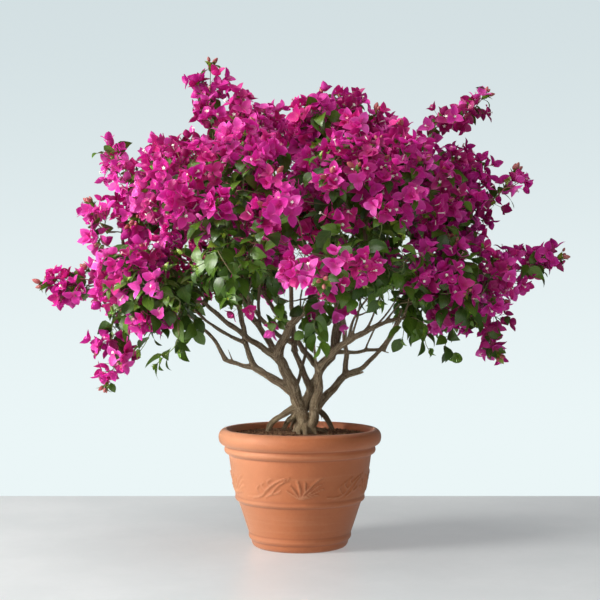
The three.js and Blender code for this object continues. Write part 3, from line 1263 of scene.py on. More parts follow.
# Thin limbs and rootlets that the frame leaves out.
SMALL_LIMBS = (
    Limb("root_left_back", ("trunk_left", 0.28), (-24, 116, 264), (-4, 4, 12), (5.5, 4)),
    Limb("root_fork_left", ("trunk_left", 0.17), (-4, -30, 264), (-4, -5, 2), (7, 5.5)),
    Limb("root_fork_middle", ("trunk_left", 0.15), (15, -46, 264), (1, -6, 4), (7.5, 6)),
    Limb("root_fork_right", ("trunk_right", 0.16), (41, -30, 264), (4, -3, 3), (6, 4.5)),
    Limb("rootlet_long", ("root_right", 0.2), (58, 70, 264), (3, 0, 0), (1.5, 1.2)),
    Limb("rootlet_short", ("root_right", 0.42), (72, 88, 264), (-3, 0, 0), (1.4, 1.1)),
    Limb("root_fork_side", ("trunk_right", 0.12), (74, 4, 268), (4, 0, 8), (5.5, 4)),
    Limb("bough_upright", ("bough_left_high", 0.32), (-96, 10, 660), (-3, 0, -4), (4.5, 3.2)),
    Limb("bough_right_dark", ("bough_right", 0.42), (168, -40, 612), (-6, 6, 8), (4.2, 2.8)),
    Limb("bough_right_small", ("bough_right_dark", 0.55), (172, -70, 582), (0, 0, -4), (2.8, 2.2)),
    Limb("bough_right_branch", ("bough_right", 0.86), (238, -118, 596), (-4, 0, -3), (3.2, 2.4)),
    Limb("bough_right_fan_low", ("bough_right", 0.45), (150, -72, 640), (4, 0, -6), (3.6, 2.2)),
    Limb("bough_right_fan_mid", ("bough_right", 0.6), (198, -98, 645), (6, 0, -8), (3.4, 2.0)),
    Limb("bough_right_fan_high", ("bough_right", 0.74), (246, -66, 632), (2, 0, -8), (3.2, 2.0)),
    Limb("bough_right_fan_back", ("bough_right_riser", 0.5), (52, -50, 655), (3, 0, 0), (3.2, 2.0)),
    Limb("bough_left_fan_front", ("bough_left_front", 0.55), (12, -136, 650), (-4, 0, 2), (3.4, 2.0)),
    Limb("bough_left_fan_mid", ("bough_left_mid", 0.45), (-148, -96, 625), (4, 0, -8), (3.6, 2.2)),
    Limb("bough_left_fan_high", ("bough_left_high", 0.5), (-112, -80, 665), (-4, 0, 4), (3.4, 2.2)),
    Limb("bough_right_lift", ("bough_right_cross", 0.6), (196, 66, 545), (-2, 0, 0), (3, 2.4)),
    Limb("spur_middle", ("trunk_right", 0.93), (36, -32, 512), (-4, 0, 2), (4.6, 2.6)),
    Limb("spur_right", ("bough_right_low", 0.9), (156, 10, 428), (2, 0, -2), (4, 3)),
    Limb("stub_left", ("bough_left_reach", 0.7), (-178, -2, 482), (0, 0, 0), (2.6, 1.6)),
    Limb("stub_right", ("bough_right_cross", 0.85), (226, 66, 470), (0, 0, 0), (2.6, 1.8)),
    Limb("stub_tip", ("bough_right_tip", 0.72), (222, 40, 512), (0, 0, 0), (2.6, 1.6)),
)


@dataclass
class Wood:
    """The stems, roots and boughs: one skin with the bark's relief, in metres."""

    sides: int = 12
    ring_spacing: float = 0.006
    voxel: float = 0.0022
    foot_height: float = 0.2663
    wander: float = 0.0032
    swelling: float = 0.16
    collar: float = 0.45
    foot_flare: float = 0.12
    furrow_share: float = 0.17
    furrow_depth: float = 0.0024
    lines: dict[str, LimbLine] = field(default_factory=dict)

    def __post_init__(self) -> None:
        """Works out every limb's line."""
        for limb in FRAME_LIMBS + SMALL_LIMBS:
            self.lines[limb.name] = self._line(limb)

    def _line(self, limb: Limb) -> LimbLine:
        """Lays one limb: flared where it leaves another, uneven along its length.

        Args:
            limb: Its sizes.

        Returns:
            Its line with its radii, in metres.
        """
        first, second = limb.start
        if isinstance(first, str):
            start = self.lines[first].at(second)
        else:
            start = np.array((first * MM, second * MM, self.foot_height))
        line = LimbLine.bowed(start, np.array(limb.tip) * MM, np.array(limb.bow) * MM).resampled(self.ring_spacing)
        share = line.run / line.length
        radii = (limb.radii[0] + (limb.radii[1] - limb.radii[0]) * share) * MM
        phase = sum(map(ord, limb.name)) * 0.37
        away = [noise.noise(Vector((phase, d * 26, k * 7.3))) for d in line.run for k in range(3)]
        away = np.array(away).reshape(-1, 3)
        grip = (smoothstep(line.run, 0.0, 0.04) * np.minimum(radii * 0.55, self.wander))[:, None]
        line = LimbLine(line.points + away * grip * 1.6)
        swell = np.array([noise.noise(Vector((phase, d * 45, 3.1))) for d in line.run])
        flare = self.collar * np.exp(-line.run / (1.6 * radii[0]))
        if not isinstance(first, str):
            flare = self.foot_flare * np.exp(-line.run / 0.028)
        line.radii = radii * (1 + self.swelling * swell + flare)
        return line

    def build(self, finish: bpy.types.Material) -> bpy.types.Object:
        """Joins the limbs into one skin, raises its bark and dresses it.

        Args:
            finish: The bark.

        Returns:
            The wood.
        """
        bm = bmesh.new()
        for line in self.lines.values():
            self._sweep(bm, line)
        maker = made_object("limbs", mesh_of(bm, "limbs"), [])
        remesh = maker.modifiers.new("skin", "REMESH")
        remesh.mode = "VOXEL"
        remesh.voxel_size = self.voxel
        smooth = maker.modifiers.new("soften", "SMOOTH")
        smooth.factor, smooth.iterations = 0.5, 4
        graph = bpy.context.evaluated_depsgraph_get()
        mesh = bpy.data.meshes.new_from_object(maker.evaluated_get(graph))
        bpy.data.objects.remove(maker)
        self._raise_bark(mesh)
        mesh.shade_smooth()
        mesh.materials.clear()
        piece = made_object("stems_and_boughs", mesh, [finish])
        settle(piece, "bark", [limb.name for limb in FRAME_LIMBS])
        return piece

    def _sweep(self, bm: bmesh.types.BMesh, line: LimbLine) -> None:
        """Bends a long cylinder along a limb, with the limb's radius at each ring.

        Args:
            bm: What the limb is added to.
            line: The limb's line with its radii.
        """
        rings = len(line.points)
        tube = bmesh.new()
        bmesh.ops.create_cone(tube, cap_ends=True, segments=self.sides, radius1=1, radius2=1, depth=1)
        upright = [e for e in tube.edges if abs(e.verts[0].co.z - e.verts[1].co.z) > 0.5]
        bmesh.ops.subdivide_edges(tube, edges=upright, cuts=rings - 2)
        headings = [Vector(h) for h in unit(np.gradient(line.points, axis=0))]
        turns = [Vector((0, 0, 1)).rotation_difference(headings[0])]
        for before, after in zip(headings, headings[1:]):
            turns.append(before.rotation_difference(after) @ turns[-1])
        for vert in tube.verts:
            ring = round((vert.co.z + 0.5) * (rings - 1))
            across = Vector((vert.co.x, vert.co.y, 0)) * line.radii[ring]
            vert.co = Vector(line.points[ring]) + turns[ring] @ across
        mesh = mesh_of(tube, "limb")
        bm.from_mesh(mesh)
        bpy.data.meshes.remove(mesh)

    def _raise_bark(self, mesh: bpy.types.Mesh) -> None:
        """Cuts long furrows into the skin and stores where they run.

        Args:
            mesh: The wood's skin.
        """
        owners = [(key, ring) for key, line in self.lines.items() for ring in range(len(line.points))]
        tree = tree_of([self.lines[key].points[ring] for key, ring in owners])
        points, out = points_of(mesh), directions_of(mesh)
        grain, furrow, lift = np.zeros_like(points), np.zeros(len(points)), np.zeros(len(points))
        headings = {key: unit(np.gradient(line.points, axis=0)) for key, line in self.lines.items()}
        for i, point in enumerate(points):
            _, found, _ = tree.find(point)
            key, ring = owners[found]
            line = self.lines[key]
            heading = headings[key][ring]
            away = point - line.points[ring]
            run = line.run[ring] + float(away @ heading)
            aside = unit(away - heading * (away @ heading))
            place = Vector((*(aside * (0.8 + 60 * line.radii[ring])), 0.0)[:3]) + Vector(heading) * run * 9
            place += Vector((hash_of(key), 0, 0))
            grain[i] = place
            ridges = abs(noise.noise(place * 2.4)) + 0.5 * abs(noise.noise(place * 5.3))
            furrow[i] = 1 - min(ridges * 2.2, 1.0)
            lift[i] = (0.5 - furrow[i]) * min(line.radii[ring] * self.furrow_share, self.furrow_depth)
        move_points(mesh, points + out * lift[:, None])
        put_attribute(mesh, "grain", grain)
        put_attribute(mesh, "furrow", furrow)


def tree_of(spots: Sequence[np.ndarray]) -> KDTree:
    """Makes a tree that finds the nearest of some spots.

    Args:
        spots: The spots.

    Returns:
        The tree, ready to be asked.
    """
    tree = KDTree(len(spots))
    for i, spot in enumerate(spots):
        tree.insert(spot, i)
    tree.balance()
    return tree


def hash_of(name: str) -> float:
    """A number that differs from name to name, the same each run."""
    return sum((i + 1) * ord(c) for i, c in enumerate(name)) % 97 * 1.7


# ---------------------------------------------------------------- the soil


@dataclass
class Soil:
    """Crumbly potting soil that fills the pot to just under its rim, in metres."""

    radius: float = 0.1722
    edge_height: float = 0.2705
    middle_height: float = 0.2765
    depth: float = 0.045
    rings: int = 64
    segments: int = 128
    crumbs: int = 1500
    crumb_sizes: tuple[float, float] = (0.0008, 0.0022)
    big_crumbs: float = 0.12

    def build(self, finish: bpy.types.Material, rng: np.random.Generator) -> bpy.types.Object:
        """Makes the heaped top with its crumbs and dresses it.

        Args:
            finish: The soil's finish.
            rng: The source of chance.

        Returns:
            The soil.
        """
        shares = [1 - i / self.rings for i in range(self.rings + 1)]
        profile = [(self.radius, self.edge_height - self.depth)]
        profile += [(self.radius * share, self.height(share)) for share in shares]
        bm = turned_skin(profile, self.segments)
        bmesh.ops.holes_fill(bm, edges=[e for e in bm.edges if e.is_boundary], sides=0)
        bmesh.ops.recalc_face_normals(bm, faces=bm.faces)
        for vert in bm.verts:
            if vert.co.z > self.edge_height - self.depth / 2:
                vert.co.z += 0.0026 * noise.noise(vert.co * 45) + 0.0016 * noise.noise(vert.co * 160)
        for _ in range(self.crumbs):
            self._crumb(bm, rng)
        mesh = mesh_of(bm, "soil")
        mesh.shade_smooth()
        piece = made_object("potting_soil", mesh, [finish])
        settle(piece, "potting_soil", ["soil"])
        return piece

    def height(self, share: float) -> float:
        """The soil's height at a share of the way out."""
        return self.edge_height + (self.middle_height - self.edge_height) * math.cos(share * math.pi / 2) ** 0.7

    def _crumb(self, bm: bmesh.types.BMesh, rng: np.random.Generator) -> None:
        """Drops one uneven crumb on the soil.

        Args:
            bm: The soil so far.
            rng: The source of chance.
        """
        reach, angle = math.sqrt(rng.uniform(0, 0.96)), rng.uniform(0, math.tau)
        size = rng.uniform(*self.crumb_sizes) * (1.7 if rng.random() < self.big_crumbs else 1)
        made = bmesh.ops.create_icosphere(bm, subdivisions=1, radius=size)["verts"]
        flat = Vector(rng.uniform(0.5, 1.5, 3))
        turn = Matrix.Rotation(rng.uniform(0, math.tau), 3, Vector(rng.normal(size=3)).normalized())
        out = reach * self.radius
        spot = Vector((math.cos(angle) * out, math.sin(angle) * out, self.height(reach)))
        for vert in made:
            vert.co = turn @ (vert.co * flat) + spot + Vector((0, 0, size * 0.4))


# ---------------------------------------------------------------- the crown's shape


class Mass(NamedTuple):
    """One mass of leaves in the frame: its points, triangles and search tree."""

    points: np.ndarray
    faces: np.ndarray
    tree: BVHTree

    @staticmethod
    def of(name: str) -> "Mass":
        """Reads a mass from its node in the frame.

        Args:
            name: The node's name.

        Returns:
            The mass.
        """
        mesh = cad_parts[name].data
        mesh.calc_loop_triangles()
        faces = [tuple(t.vertices) for t in mesh.loop_triangles]
        points = points_of(mesh)
        return Mass(points, np.array(faces), BVHTree.FromPolygons(points.tolist(), faces, all_triangles=True))

    def box(self) -> tuple[np.ndarray, np.ndarray]:
        """Its lowest and highest corners."""
        return self.points.min(0), self.points.max(0)

    def middle(self) -> np.ndarray:
        """The mean of its points."""
        return self.points.mean(0)

    def holds(self, point: np.ndarray) -> bool:
        """True if the point is inside."""
        spot, normal, _, _ = self.tree.find_nearest(point)
        return (Vector(point) - spot).dot(normal) < 0

    def axis(self) -> np.ndarray:
        """The way a slim mass points, away from the crown's middle."""
        axis = np.linalg.eigh(np.cov((self.points - self.middle()).T))[1][:, -1]
        return axis * (1 if axis @ (self.middle() - CROWN_MIDDLE) > 0 else -1)

    def spine(self, margin: float = 0.04, gap: float = 0.042) -> np.ndarray:
        """Spots along a slim mass.

        Args:
            margin: How far before its tip they end.
            gap: How far they are apart.

        Returns:
            (n, 3) the spots, on its axis.
        """
        axis = self.axis()
        reach = (self.points - self.middle()) @ axis
        return self.middle() + axis * np.arange(reach.min(), reach.max() - margin, gap)[:, None]

    def tip(self, margin: float = 0.004) -> np.ndarray:
        """The end of a slim mass's axis, a margin inside it."""
        axis = self.axis()
        return self.middle() + axis * (((self.points - self.middle()) @ axis).max() - margin)


class CrownShape:
    """The frame's masses of leaves as solids that can be asked what they hold."""

    def __init__(self, names: Sequence[str], rng: np.random.Generator, skin_spots: int = 12000) -> None:
        """Reads the masses and finds the crown's skin.

        Args:
            names: The masses' node names.
            rng: The source of chance.
            skin_spots: How many spots are tried on the masses.
        """
        self.rng = rng
        self.masses = {name: Mass.of(name) for name in names}
        self.boxes = {name: mass.box() for name, mass in self.masses.items()}
        self.sprays = {name: mass for name, mass in self.masses.items() if "spray" in name}
        self.skin, self.out = self._skin(skin_spots)
        self.tree = tree_of(self.skin)

    def holds(self, point: np.ndarray, leave_out: str = "") -> bool:
        """Tells if a point is in the crown.

        Args:
            point: The point.
            leave_out: A mass that doesn't count.

        Returns:
            True if it is inside another mass.
        """
        for name, (low, high) in self.boxes.items():
            if name != leave_out and (point > low).all() and (point < high).all():
                if self.masses[name].holds(point):
                    return True
        return False

    def _skin(self, count: int) -> tuple[np.ndarray, np.ndarray]:
        """Strews spots over the outside of the crown.

        Args:
            count: How many are tried.

        Returns:
            The spots that no other mass covers, and the way out at each.
        """
        spots, ways = [], []
        areas = []
        for mass in self.masses.values():
            a, b, c = mass.points[mass.faces].transpose(1, 0, 2)
            areas.append(np.linalg.norm(np.cross(b - a, c - a), axis=1) / 2)
        total = sum(a.sum() for a in areas)
        for (name, mass), area in zip(self.masses.items(), areas):
            many = round(count * area.sum() / total)
            chosen = self.rng.choice(len(area), many, p=area / area.sum())
            a, b, c = mass.points[mass.faces[chosen]].transpose(1, 0, 2)
            u, v = self.rng.random((2, many, 1))
            flip = (u + v) > 1
            u, v = np.where(flip, 1 - u, u), np.where(flip, 1 - v, v)
            spot = a + (b - a) * u + (c - a) * v
            way = unit(np.cross(b - a, c - a))
            for s, w in zip(spot, way):
                if not self.holds(s + w * 0.016, name):
                    spots.append(s)
                    ways.append(w)
        return np.array(spots), np.array(ways)

    def way_out(self, point: np.ndarray) -> tuple[np.ndarray, float]:
        """Finds the way out of the crown.

        Args:
            point: A point in the crown.

        Returns:
            The way out from it, and how deep it lies.
        """
        near = self.tree.find_n(point, 5)
        way = unit(sum(self.out[i] for _, i, _ in near))
        return way, near[0][2]

    def inside(self, count: int) -> np.ndarray:
        """Strews points evenly through the masses.

        Args:
            count: How many are tried in the masses' boxes.

        Returns:
            (n, 3) those that are inside.
        """
        sizes = np.array([np.prod(high - low) for low, high in self.boxes.values()])
        found = []
        for (name, (low, high)), size in zip(self.boxes.items(), sizes):
            tried = self.rng.uniform(low, high, (round(count * size / sizes.sum()), 3))
            found += [point for point in tried if self.masses[name].holds(point)]
        return np.array(found)


def spaced(points: np.ndarray, gap: float, rng: np.random.Generator) -> list[int]:
    """Picks points no nearer to each other than a gap.

    Args:
        points: (n, 3) the points.
        gap: The gap.
        rng: The source of chance.

    Returns:
        The indices of the picked points, in the order they were picked.
    """
    cells: dict[tuple[int, int, int], list[np.ndarray]] = {}

    def neighbours(point: np.ndarray) -> Iterable[np.ndarray]:
        """Finds the picked points that may be too near.

        Args:
            point: A point.

        Yields:
            The picked points in the cells round it.
        """
        x, y, z = (int(k) for k in point // gap)
        for i, j, k in itertools.product((-1, 0, 1), repeat=3):
            yield from cells.get((x + i, y + j, z + k), ())

    kept = []
    for i in rng.permutation(len(points)):
        point = points[i]
        if all(((other - point) ** 2).sum() >= gap * gap for other in neighbours(point)):
            kept.append(int(i))
            cells.setdefault(tuple(int(k) for k in point // gap), []).append(point)
    return kept


# ---------------------------------------------------------------- small shapes


def bent(slopes: np.ndarray, length: float) -> tuple[np.ndarray, np.ndarray]:
    """Follows a strip that bends as it goes.

    Args:
        slopes: Its slope at equal steps, in radians.
        length: Its length.

    Returns:
        How far it has come level and how far up, at each step.
    """
    step = length / (len(slopes) - 1)
    level = np.concatenate([[0], np.cumsum(np.cos(slopes[1:]) * step)])
    up = np.concatenate([[0], np.cumsum(np.sin(slopes[1:]) * step)])
    return level, up


def half_width(width: float, along: float, peak: float, fullness: float) -> float:
    """Half a blade's width at a share of its length; peak shifts its widest place, fullness rounds it."""
    return width / 2 * (math.sin(math.pi * along**peak) ** fullness if 0 < along < 1 else 0.0)


@dataclass(frozen=True)
class BractShape:
    """One bract: how it opens from its base to its tip, in degrees from the flower's axis."""

    length: float = 0.031
    width: float = 0.025
    start: float = 85.0
    middle: float = 25.0
    tip: float = 50.0
    cup: float = 0.25
    wave: float = 0.05

    def pattern(self, phase: float) -> Pattern:
        """Makes the bract along +X, with the flower's axis +Z.

        Args:
            phase: Where its waves start.

        Returns:
            The bract.
        """
        bm, spots = blade_grid(4, 5)
        share = np.linspace(0, 1, BLADE_STEPS)
        angle = np.where(
            share < 0.4,
            self.start + (self.middle - self.start) * smoothstep(share, 0, 0.4),
            self.middle + (self.tip - self.middle) * smoothstep(share, 0.4, 1),
        )
        up, out = bent(np.radians(angle), self.length)
        for vert, (side, along) in spots.items():
            half = half_width(self.width, along, 0.78, 0.8)
            lean = math.radians(float(np.interp(along, share, angle)))
            curl = self.cup * side * side + 0.1 * abs(side) * (1 - along)
            curl += self.wave * math.sin(9 * along + phase + side) * abs(side)
            x = float(np.interp(along, share, out)) - math.cos(lean) * curl * half
            z = float(np.interp(along, share, up)) + math.sin(lean) * curl * half
            vert.co = (x, side * half * (1 - 0.12 * curl), z)
        bmesh.ops.remove_doubles(bm, verts=bm.verts, dist=BLADE_WELD)
        return Pattern.of(bm)


@dataclass(frozen=True)
class LeafShape:
    """One leaf along +Y with its upper side up: how it folds on its rib and droops to its tip."""

    length: float = 0.05
    width: float = 0.036
    fold: float = 0.28
    droop: float = 35.0
    wave: float = 0.06
    across: int = 4
    rows: int = 6

    def pattern(self, phase: float) -> Pattern:
        """Makes the leaf.

        Args:
            phase: Where its waves start.

        Returns:
            The leaf.
        """
        bm, spots = blade_grid(self.across, self.rows)
        share = np.linspace(0, 1, BLADE_STEPS)
        out, up = bent(np.radians(self.droop * (0.3 - 1.3 * share**1.4)), self.length)
        for vert, (side, along) in spots.items():
            half = half_width(self.width, along, 0.62, 1.04)
            lift = self.fold * abs(side) - 0.12 * side * side
            lift += self.wave * math.sin(7 * along + phase + 2 * side) * abs(side)
            y = float(np.interp(along, share, out)) - 0.1 * self.length * abs(side) * (1 - along) ** 4
            vert.co = (side * half, y, float(np.interp(along, share, up)) + lift * half)
        bmesh.ops.remove_doubles(bm, verts=bm.verts, dist=BLADE_WELD)
        return Pattern.of(bm)


def blade_grid(across: int, rows: int) -> tuple[bmesh.types.BMesh, dict]:
    """A flat grid for a blade, mapped over one cell.

    Args:
        across: The number of faces across.
        rows: The number of faces along.

    Returns:
        The bmesh, and each vertex's place: from -1 to 1 across and from 0 to 1 along.
    """
    bm = bmesh.new()
    bmesh.ops.create_grid(bm, x_segments=across, y_segments=rows, size=1)
    put_map(bm, lambda co: ((co.x + 1) / 2, (co.y + 1) / 2))
    return bm, {v: (v.co.x, (v.co.y + 1) / 2) for v in bm.verts}


def bract_group(shape: BractShape, rng: np.random.Generator) -> Pattern:
    """Sets three bracts round an axis, each a little different.

    Args:
        shape: The bracts' shape.
        rng: The source of chance.

    Returns:
        The group, round +Z.
    """
    parts = []
    for i in range(3):
        own = BractShape(
            shape.length * rng.uniform(0.9, 1.08), shape.width * rng.uniform(0.92, 1.08), shape.start,
            shape.middle + rng.uniform(-9, 9), shape.tip + rng.uniform(-18, 18), shape.cup + rng.uniform(-0.1, 0.1),
            shape.wave * rng.uniform(0.6, 1.8),
        )
        turn = Matrix.Rotation(i * math.tau / 3 + rng.uniform(-0.16, 0.16), 3, "Z")
        parts.append(own.pattern(rng.uniform(0, 6)).turned(turn))
    return Pattern.joined(parts)


def bud_pattern(length: float, width: float) -> Pattern:
    """Makes a closed bud along +Z: a pointed egg with three keels.

    Args:
        length: Its length.
        width: Its width.

    Returns:
        The bud.
    """
    bm = bmesh.new()
    bmesh.ops.create_uvsphere(bm, u_segments=9, v_segments=6, radius=1.0)
    put_map(bm, lambda co: (math.atan2(co.y, co.x) * 3 / math.tau % 1, (co.z + 1) / 2))
    for vert in bm.verts:
        angle, share = math.atan2(vert.co.y, vert.co.x), (vert.co.z + 1) / 2
        keel = 1 + 0.14 * math.cos(3 * angle)
        slim = 1 - 0.45 * share**2
        vert.co = (vert.co.x * width / 2 * keel * slim, vert.co.y * width / 2 * keel * slim, share * length)
    return Pattern.of(bm)


@dataclass(frozen=True)
class FlowerShape:
    """A small cream flower along +Z: a slim tube that opens in a five-pointed star."""

    tube: float = 0.015
    base_radius: float = 0.0009
    throat_radius: float = 0.0013
    star_radius: float = 0.0045
    throat_height: float = 0.0148
    notch_height: float = 0.0155
    point_height: float = 0.0165

    def pattern(self) -> Pattern:
        """Makes the flower.

        Returns:
            The flower.
        """
        bm = bmesh.new()
        tube = bmesh.ops.create_cone(
            bm, cap_ends=False, segments=5, radius1=self.base_radius, radius2=self.throat_radius, depth=self.tube
        )
        for vert in tube["verts"]:
            vert.co.z += self.tube / 2
        star = bmesh.ops.create_circle(bm, cap_ends=True, segments=10, radius=self.star_radius)["verts"]
        bmesh.ops.poke(bm, faces=star[0].link_faces[:])
        for i, vert in enumerate(star):
            if i % 2:
                vert.co *= 0.5
            vert.co.z = self.point_height if i % 2 == 0 else self.notch_height
        for vert in bm.verts:
            if vert.co.length < 1e-6:
                vert.co.z = self.throat_height
        wide = 2 * self.star_radius
        put_map(bm, lambda co: (co.x / wide + 0.5, min(co.z / 0.017, 1)))
        return Pattern.of(bm)


# ---------------------------------------------------------------- the crown


class Network:
    """Branches that grow from the boughs to every spot they have to reach."""

    twig_radius = 0.00115
    thickening = 0.4

    def __init__(self, balance: float = 0.32, turn_cost: float = 0.55) -> None:
        """Starts an empty network.

        Args:
            balance: How much a short way back to the boughs counts.
            turn_cost: How much a straight run counts.
        """
        self.balance = balance
        self.turn_cost = turn_cost
        self.points: list[np.ndarray] = []
        self.headings: list[np.ndarray] = []
        self.parents: list[int] = []
        self.lengths: list[float] = []
        self.limits: list[float] = []
        self.counts: list[int] = []

    def seed(self, point: np.ndarray, heading: np.ndarray, radius: float, handicap: float) -> None:
        """Adds a spot on a bough where branches may leave it.

        Args:
            point: The spot.
            heading: The way the bough runs there.
            radius: The bough's radius there.
            handicap: A length that makes the spot a dearer one to leave from.
        """
        self._join(point, heading, -1, handicap, radius)

    def _join(self, point: np.ndarray, heading: np.ndarray, parent: int, length: float, limit: float) -> int:
        """Adds a node.

        Args:
            point: Where it is.
            heading: The way its branch runs there.
            parent: The node it grows from, or -1.
            length: The length back to the bough.
            limit: The bough's radius.

        Returns:
            The node's index.
        """
        self.points.append(point)
        self.headings.append(heading)
        self.parents.append(parent)
        self.lengths.append(length)
        self.limits.append(limit)
        return len(self.points) - 1

    def grow(self, targets: np.ndarray) -> np.ndarray:
        """Reaches every target, the cheapest first.

        Args:
            targets: (n, 3) the spots to reach.

        Returns:
            The node of each target.
        """
        costs = np.full(len(targets), np.inf)
        parents = np.full(len(targets), -1)
        waiting = np.ones(len(targets), bool)
        nodes = np.full(len(targets), -1)

        def offer(node: int) -> None:
            """Lets a node bid for the targets that still wait.

            Args:
                node: The node's index.
            """
            gap = targets - self.points[node]
            distance = np.linalg.norm(gap, axis=1) + 1e-9
            turn = 1 - gap @ self.headings[node] / distance
            cost = distance * (1 + self.turn_cost * turn) + self.balance * (self.lengths[node] + distance)
            better = waiting & (cost < costs)
            costs[better], parents[better] = cost[better], node

        for node in range(len(self.points)):
            offer(node)
        for _ in range(len(targets)):
            chosen = int(np.where(waiting, costs, np.inf).argmin())
            parent = int(parents[chosen])
            run = targets[chosen] - self.points[parent]
            heading = unit(0.75 * unit(run) + 0.25 * self.headings[parent])
            length = self.lengths[parent] + float(np.linalg.norm(run))
            nodes[chosen] = self._join(targets[chosen], heading, parent, length, self.limits[parent])
            waiting[chosen] = False
            offer(int(nodes[chosen]))
        return nodes

    def count(self, ends: Iterable[int]) -> None:
        """Counts the shoots beyond each node.

        Args:
            ends: The nodes that bear shoots.
        """
        self.counts = [0] * len(self.points)
        for end in ends:
            self.counts[end] += 1
        for node in range(len(self.points) - 1, -1, -1):
            if self.parents[node] >= 0:
                self.counts[self.parents[node]] += self.counts[node]

    def _children(self) -> dict[int, list[int]]:
        """Finds what grows from each node.

        Returns:
            For each node the nodes that grow from it and lead to shoots.
        """
        children: dict[int, list[int]] = {}
        for node, parent in enumerate(self.parents):
            if parent >= 0 and self.counts[node]:
                children.setdefault(parent, []).append(node)
        return children

    def soften(self, turns: int) -> None:
        """Draws each node towards the middle of its neighbours.

        Args:
            turns: How many times.
        """
        children = self._children()
        for _ in range(turns):
            moved = list(self.points)
            for node, parent in enumerate(self.parents):
                onward = children.get(node)
                if parent >= 0 and onward:
                    main = max(onward, key=lambda n: self.counts[n])
                    moved[node] = 0.6 * self.points[node] + 0.2 * (self.points[parent] + self.points[main])
            self.points = moved

    def radius(self, node: int) -> float:
        """How thick a branch is at a node."""
        return min(self.twig_radius * max(self.counts[node], 1) ** self.thickening, 0.85 * self.limits[node])

    def branches(self) -> list[LimbLine]:
        """Follows every branch from where it leaves another to its end.

        Returns:
            Their lines with their radii.
        """
        children = self._children()
        found, starts = [], []
        for node, onward in children.items():
            onward.sort(key=lambda n: -self.counts[n])
            starts += [(node, n) for n in (onward if self.parents[node] < 0 else onward[1:])]
        for parent, node in starts:
            chain = [parent, node]
            while children.get(chain[-1]):
                chain.append(children[chain[-1]][0])
            radii = [self.radius(n) for n in chain]
            radii[0] = radii[1]
            line = LimbLine.through([self.points[n] for n in chain], 3 * (len(chain) - 1) + 1)
            line.radii = np.interp(np.linspace(0, 1, len(line.points)), np.linspace(0, 1, len(chain)), radii)
            found.append(line)
        return found


class Placed:
    """Copies of one kind of small shape, each with its variant, axes, place and tint."""

    def __init__(self, patterns: Sequence[Pattern]) -> None:
        """Takes the kind's variants.

        Args:
            patterns: The variants.
        """
        self.patterns = patterns
        self.variants: list[int] = []
        self.axes: list[np.ndarray] = []
        self.origins: list[np.ndarray] = []
        self.tints: list[int] = []

    def put(self, variant: int, axes: np.ndarray, origin: np.ndarray, tint: int) -> None:
        """Adds one copy.

        Args:
            variant: Which of the patterns it is.
            axes: (3, 3) its own axes as rows, with its scale.
            origin: Where it stands.
            tint: Its material's number.
        """
        self.variants.append(variant % len(self.patterns))
        self.axes.append(axes)
        self.origins.append(origin)
        self.tints.append(tint)

    def pour(self, heap: Heap, low: float = -math.inf, high: float = math.inf) -> None:
        """Adds copies to a heap.

        Args:
            heap: The heap.
            low: The copies stand from this X on.
            high: They stand below this X.
        """
        variants, tints = np.array(self.variants), np.array(self.tints)
        axes, origins = np.array(self.axes), np.array(self.origins)
        keep = (origins[:, 0] >= low) & (origins[:, 0] < high)
        for variant, pattern in enumerate(self.patterns):
            mine = (variants == variant) & keep
            heap.scatter(pattern, axes[mine], origins[mine], tints[mine])


@dataclass
class Stalks:
    """Thin tubes gathered by how many points they have."""

    lines: dict[tuple[int, int], list] = field(default_factory=dict)

    def put(self, points: np.ndarray, radii: np.ndarray, sides: int, tint: int) -> None:
        """Adds one tube.

        Args:
            points: (n, 3) its line.
            radii: (n,) its radius at each point.
            sides: How many sides it has.
            tint: Its material's number.
        """
        self.lines.setdefault((len(points), sides), []).append((points, radii, tint))

    def pour(self, heap: Heap) -> None:
        """Adds them all to a heap.

        Args:
            heap: The heap.
        """
        for (_, sides), rows in sorted(self.lines.items(), key=lambda item: item[0]):
            points, radii, tints = zip(*rows)
            heap.tubes(np.array(points), np.array(radii), sides, np.array(tints))


class Habit(Enum):
    """How a shoot is dressed: full of bracts at its end, a long leader, a small cluster, or leaves alone."""

    FULL = "full"
    LEADER = "leader"
    SMALL = "small"
    LEAFY = "leafy"


class Start(NamedTuple):
    """Where a shoot is to stand: its base and tip, the way out there, its depth and its habit."""

    base: np.ndarray
    tip: np.ndarray
    way: np.ndarray
    depth: float
    habit: Habit


class Shoot(NamedTuple):
    """A leafy end of a branch: its line, the way out of the crown there, its depth and its habit."""

    line: LimbLine
    way: np.ndarray
    depth: float
    habit: Habit


class Patch(NamedTuple):
    """A round patch of the crown in metres, leafier or fuller of flowers than what is round it."""

    centre: tuple[float, float, float]
    radius: float
    bloom: float


PATCHES = (
    Patch((0.06, -0.46, 0.74), 0.115, 0.0),
    Patch((0.19, -0.44, 0.745), 0.095, 0.05),
    Patch((-0.12, -0.42, 0.70), 0.07, 0.1),
    Patch((0.055, -0.42, 0.66), 0.06, 0.0),
    Patch((0.24, -0.40, 0.69), 0.06, 0.1),
    Patch((0.40, -0.22, 0.62), 0.07, 0.35),
    Patch((-0.17, -0.40, 0.64), 0.10, 0.0),
    Patch((0.29, -0.34, 0.665), 0.06, 0.85),
    Patch((-0.065, -0.44, 0.79), 0.07, 1.0),
)


class Opening(NamedTuple):
    """A round place in metres where no shoot of the crown's skin stands, so the boughs show."""

    centre: tuple[float, float, float]
    radius: float


OPENINGS = (
    Opening((-0.115, -0.32, 0.600), 0.075),
    Opening((-0.02, -0.30, 0.585), 0.065),
    Opening((0.10, -0.27, 0.570), 0.05),
)


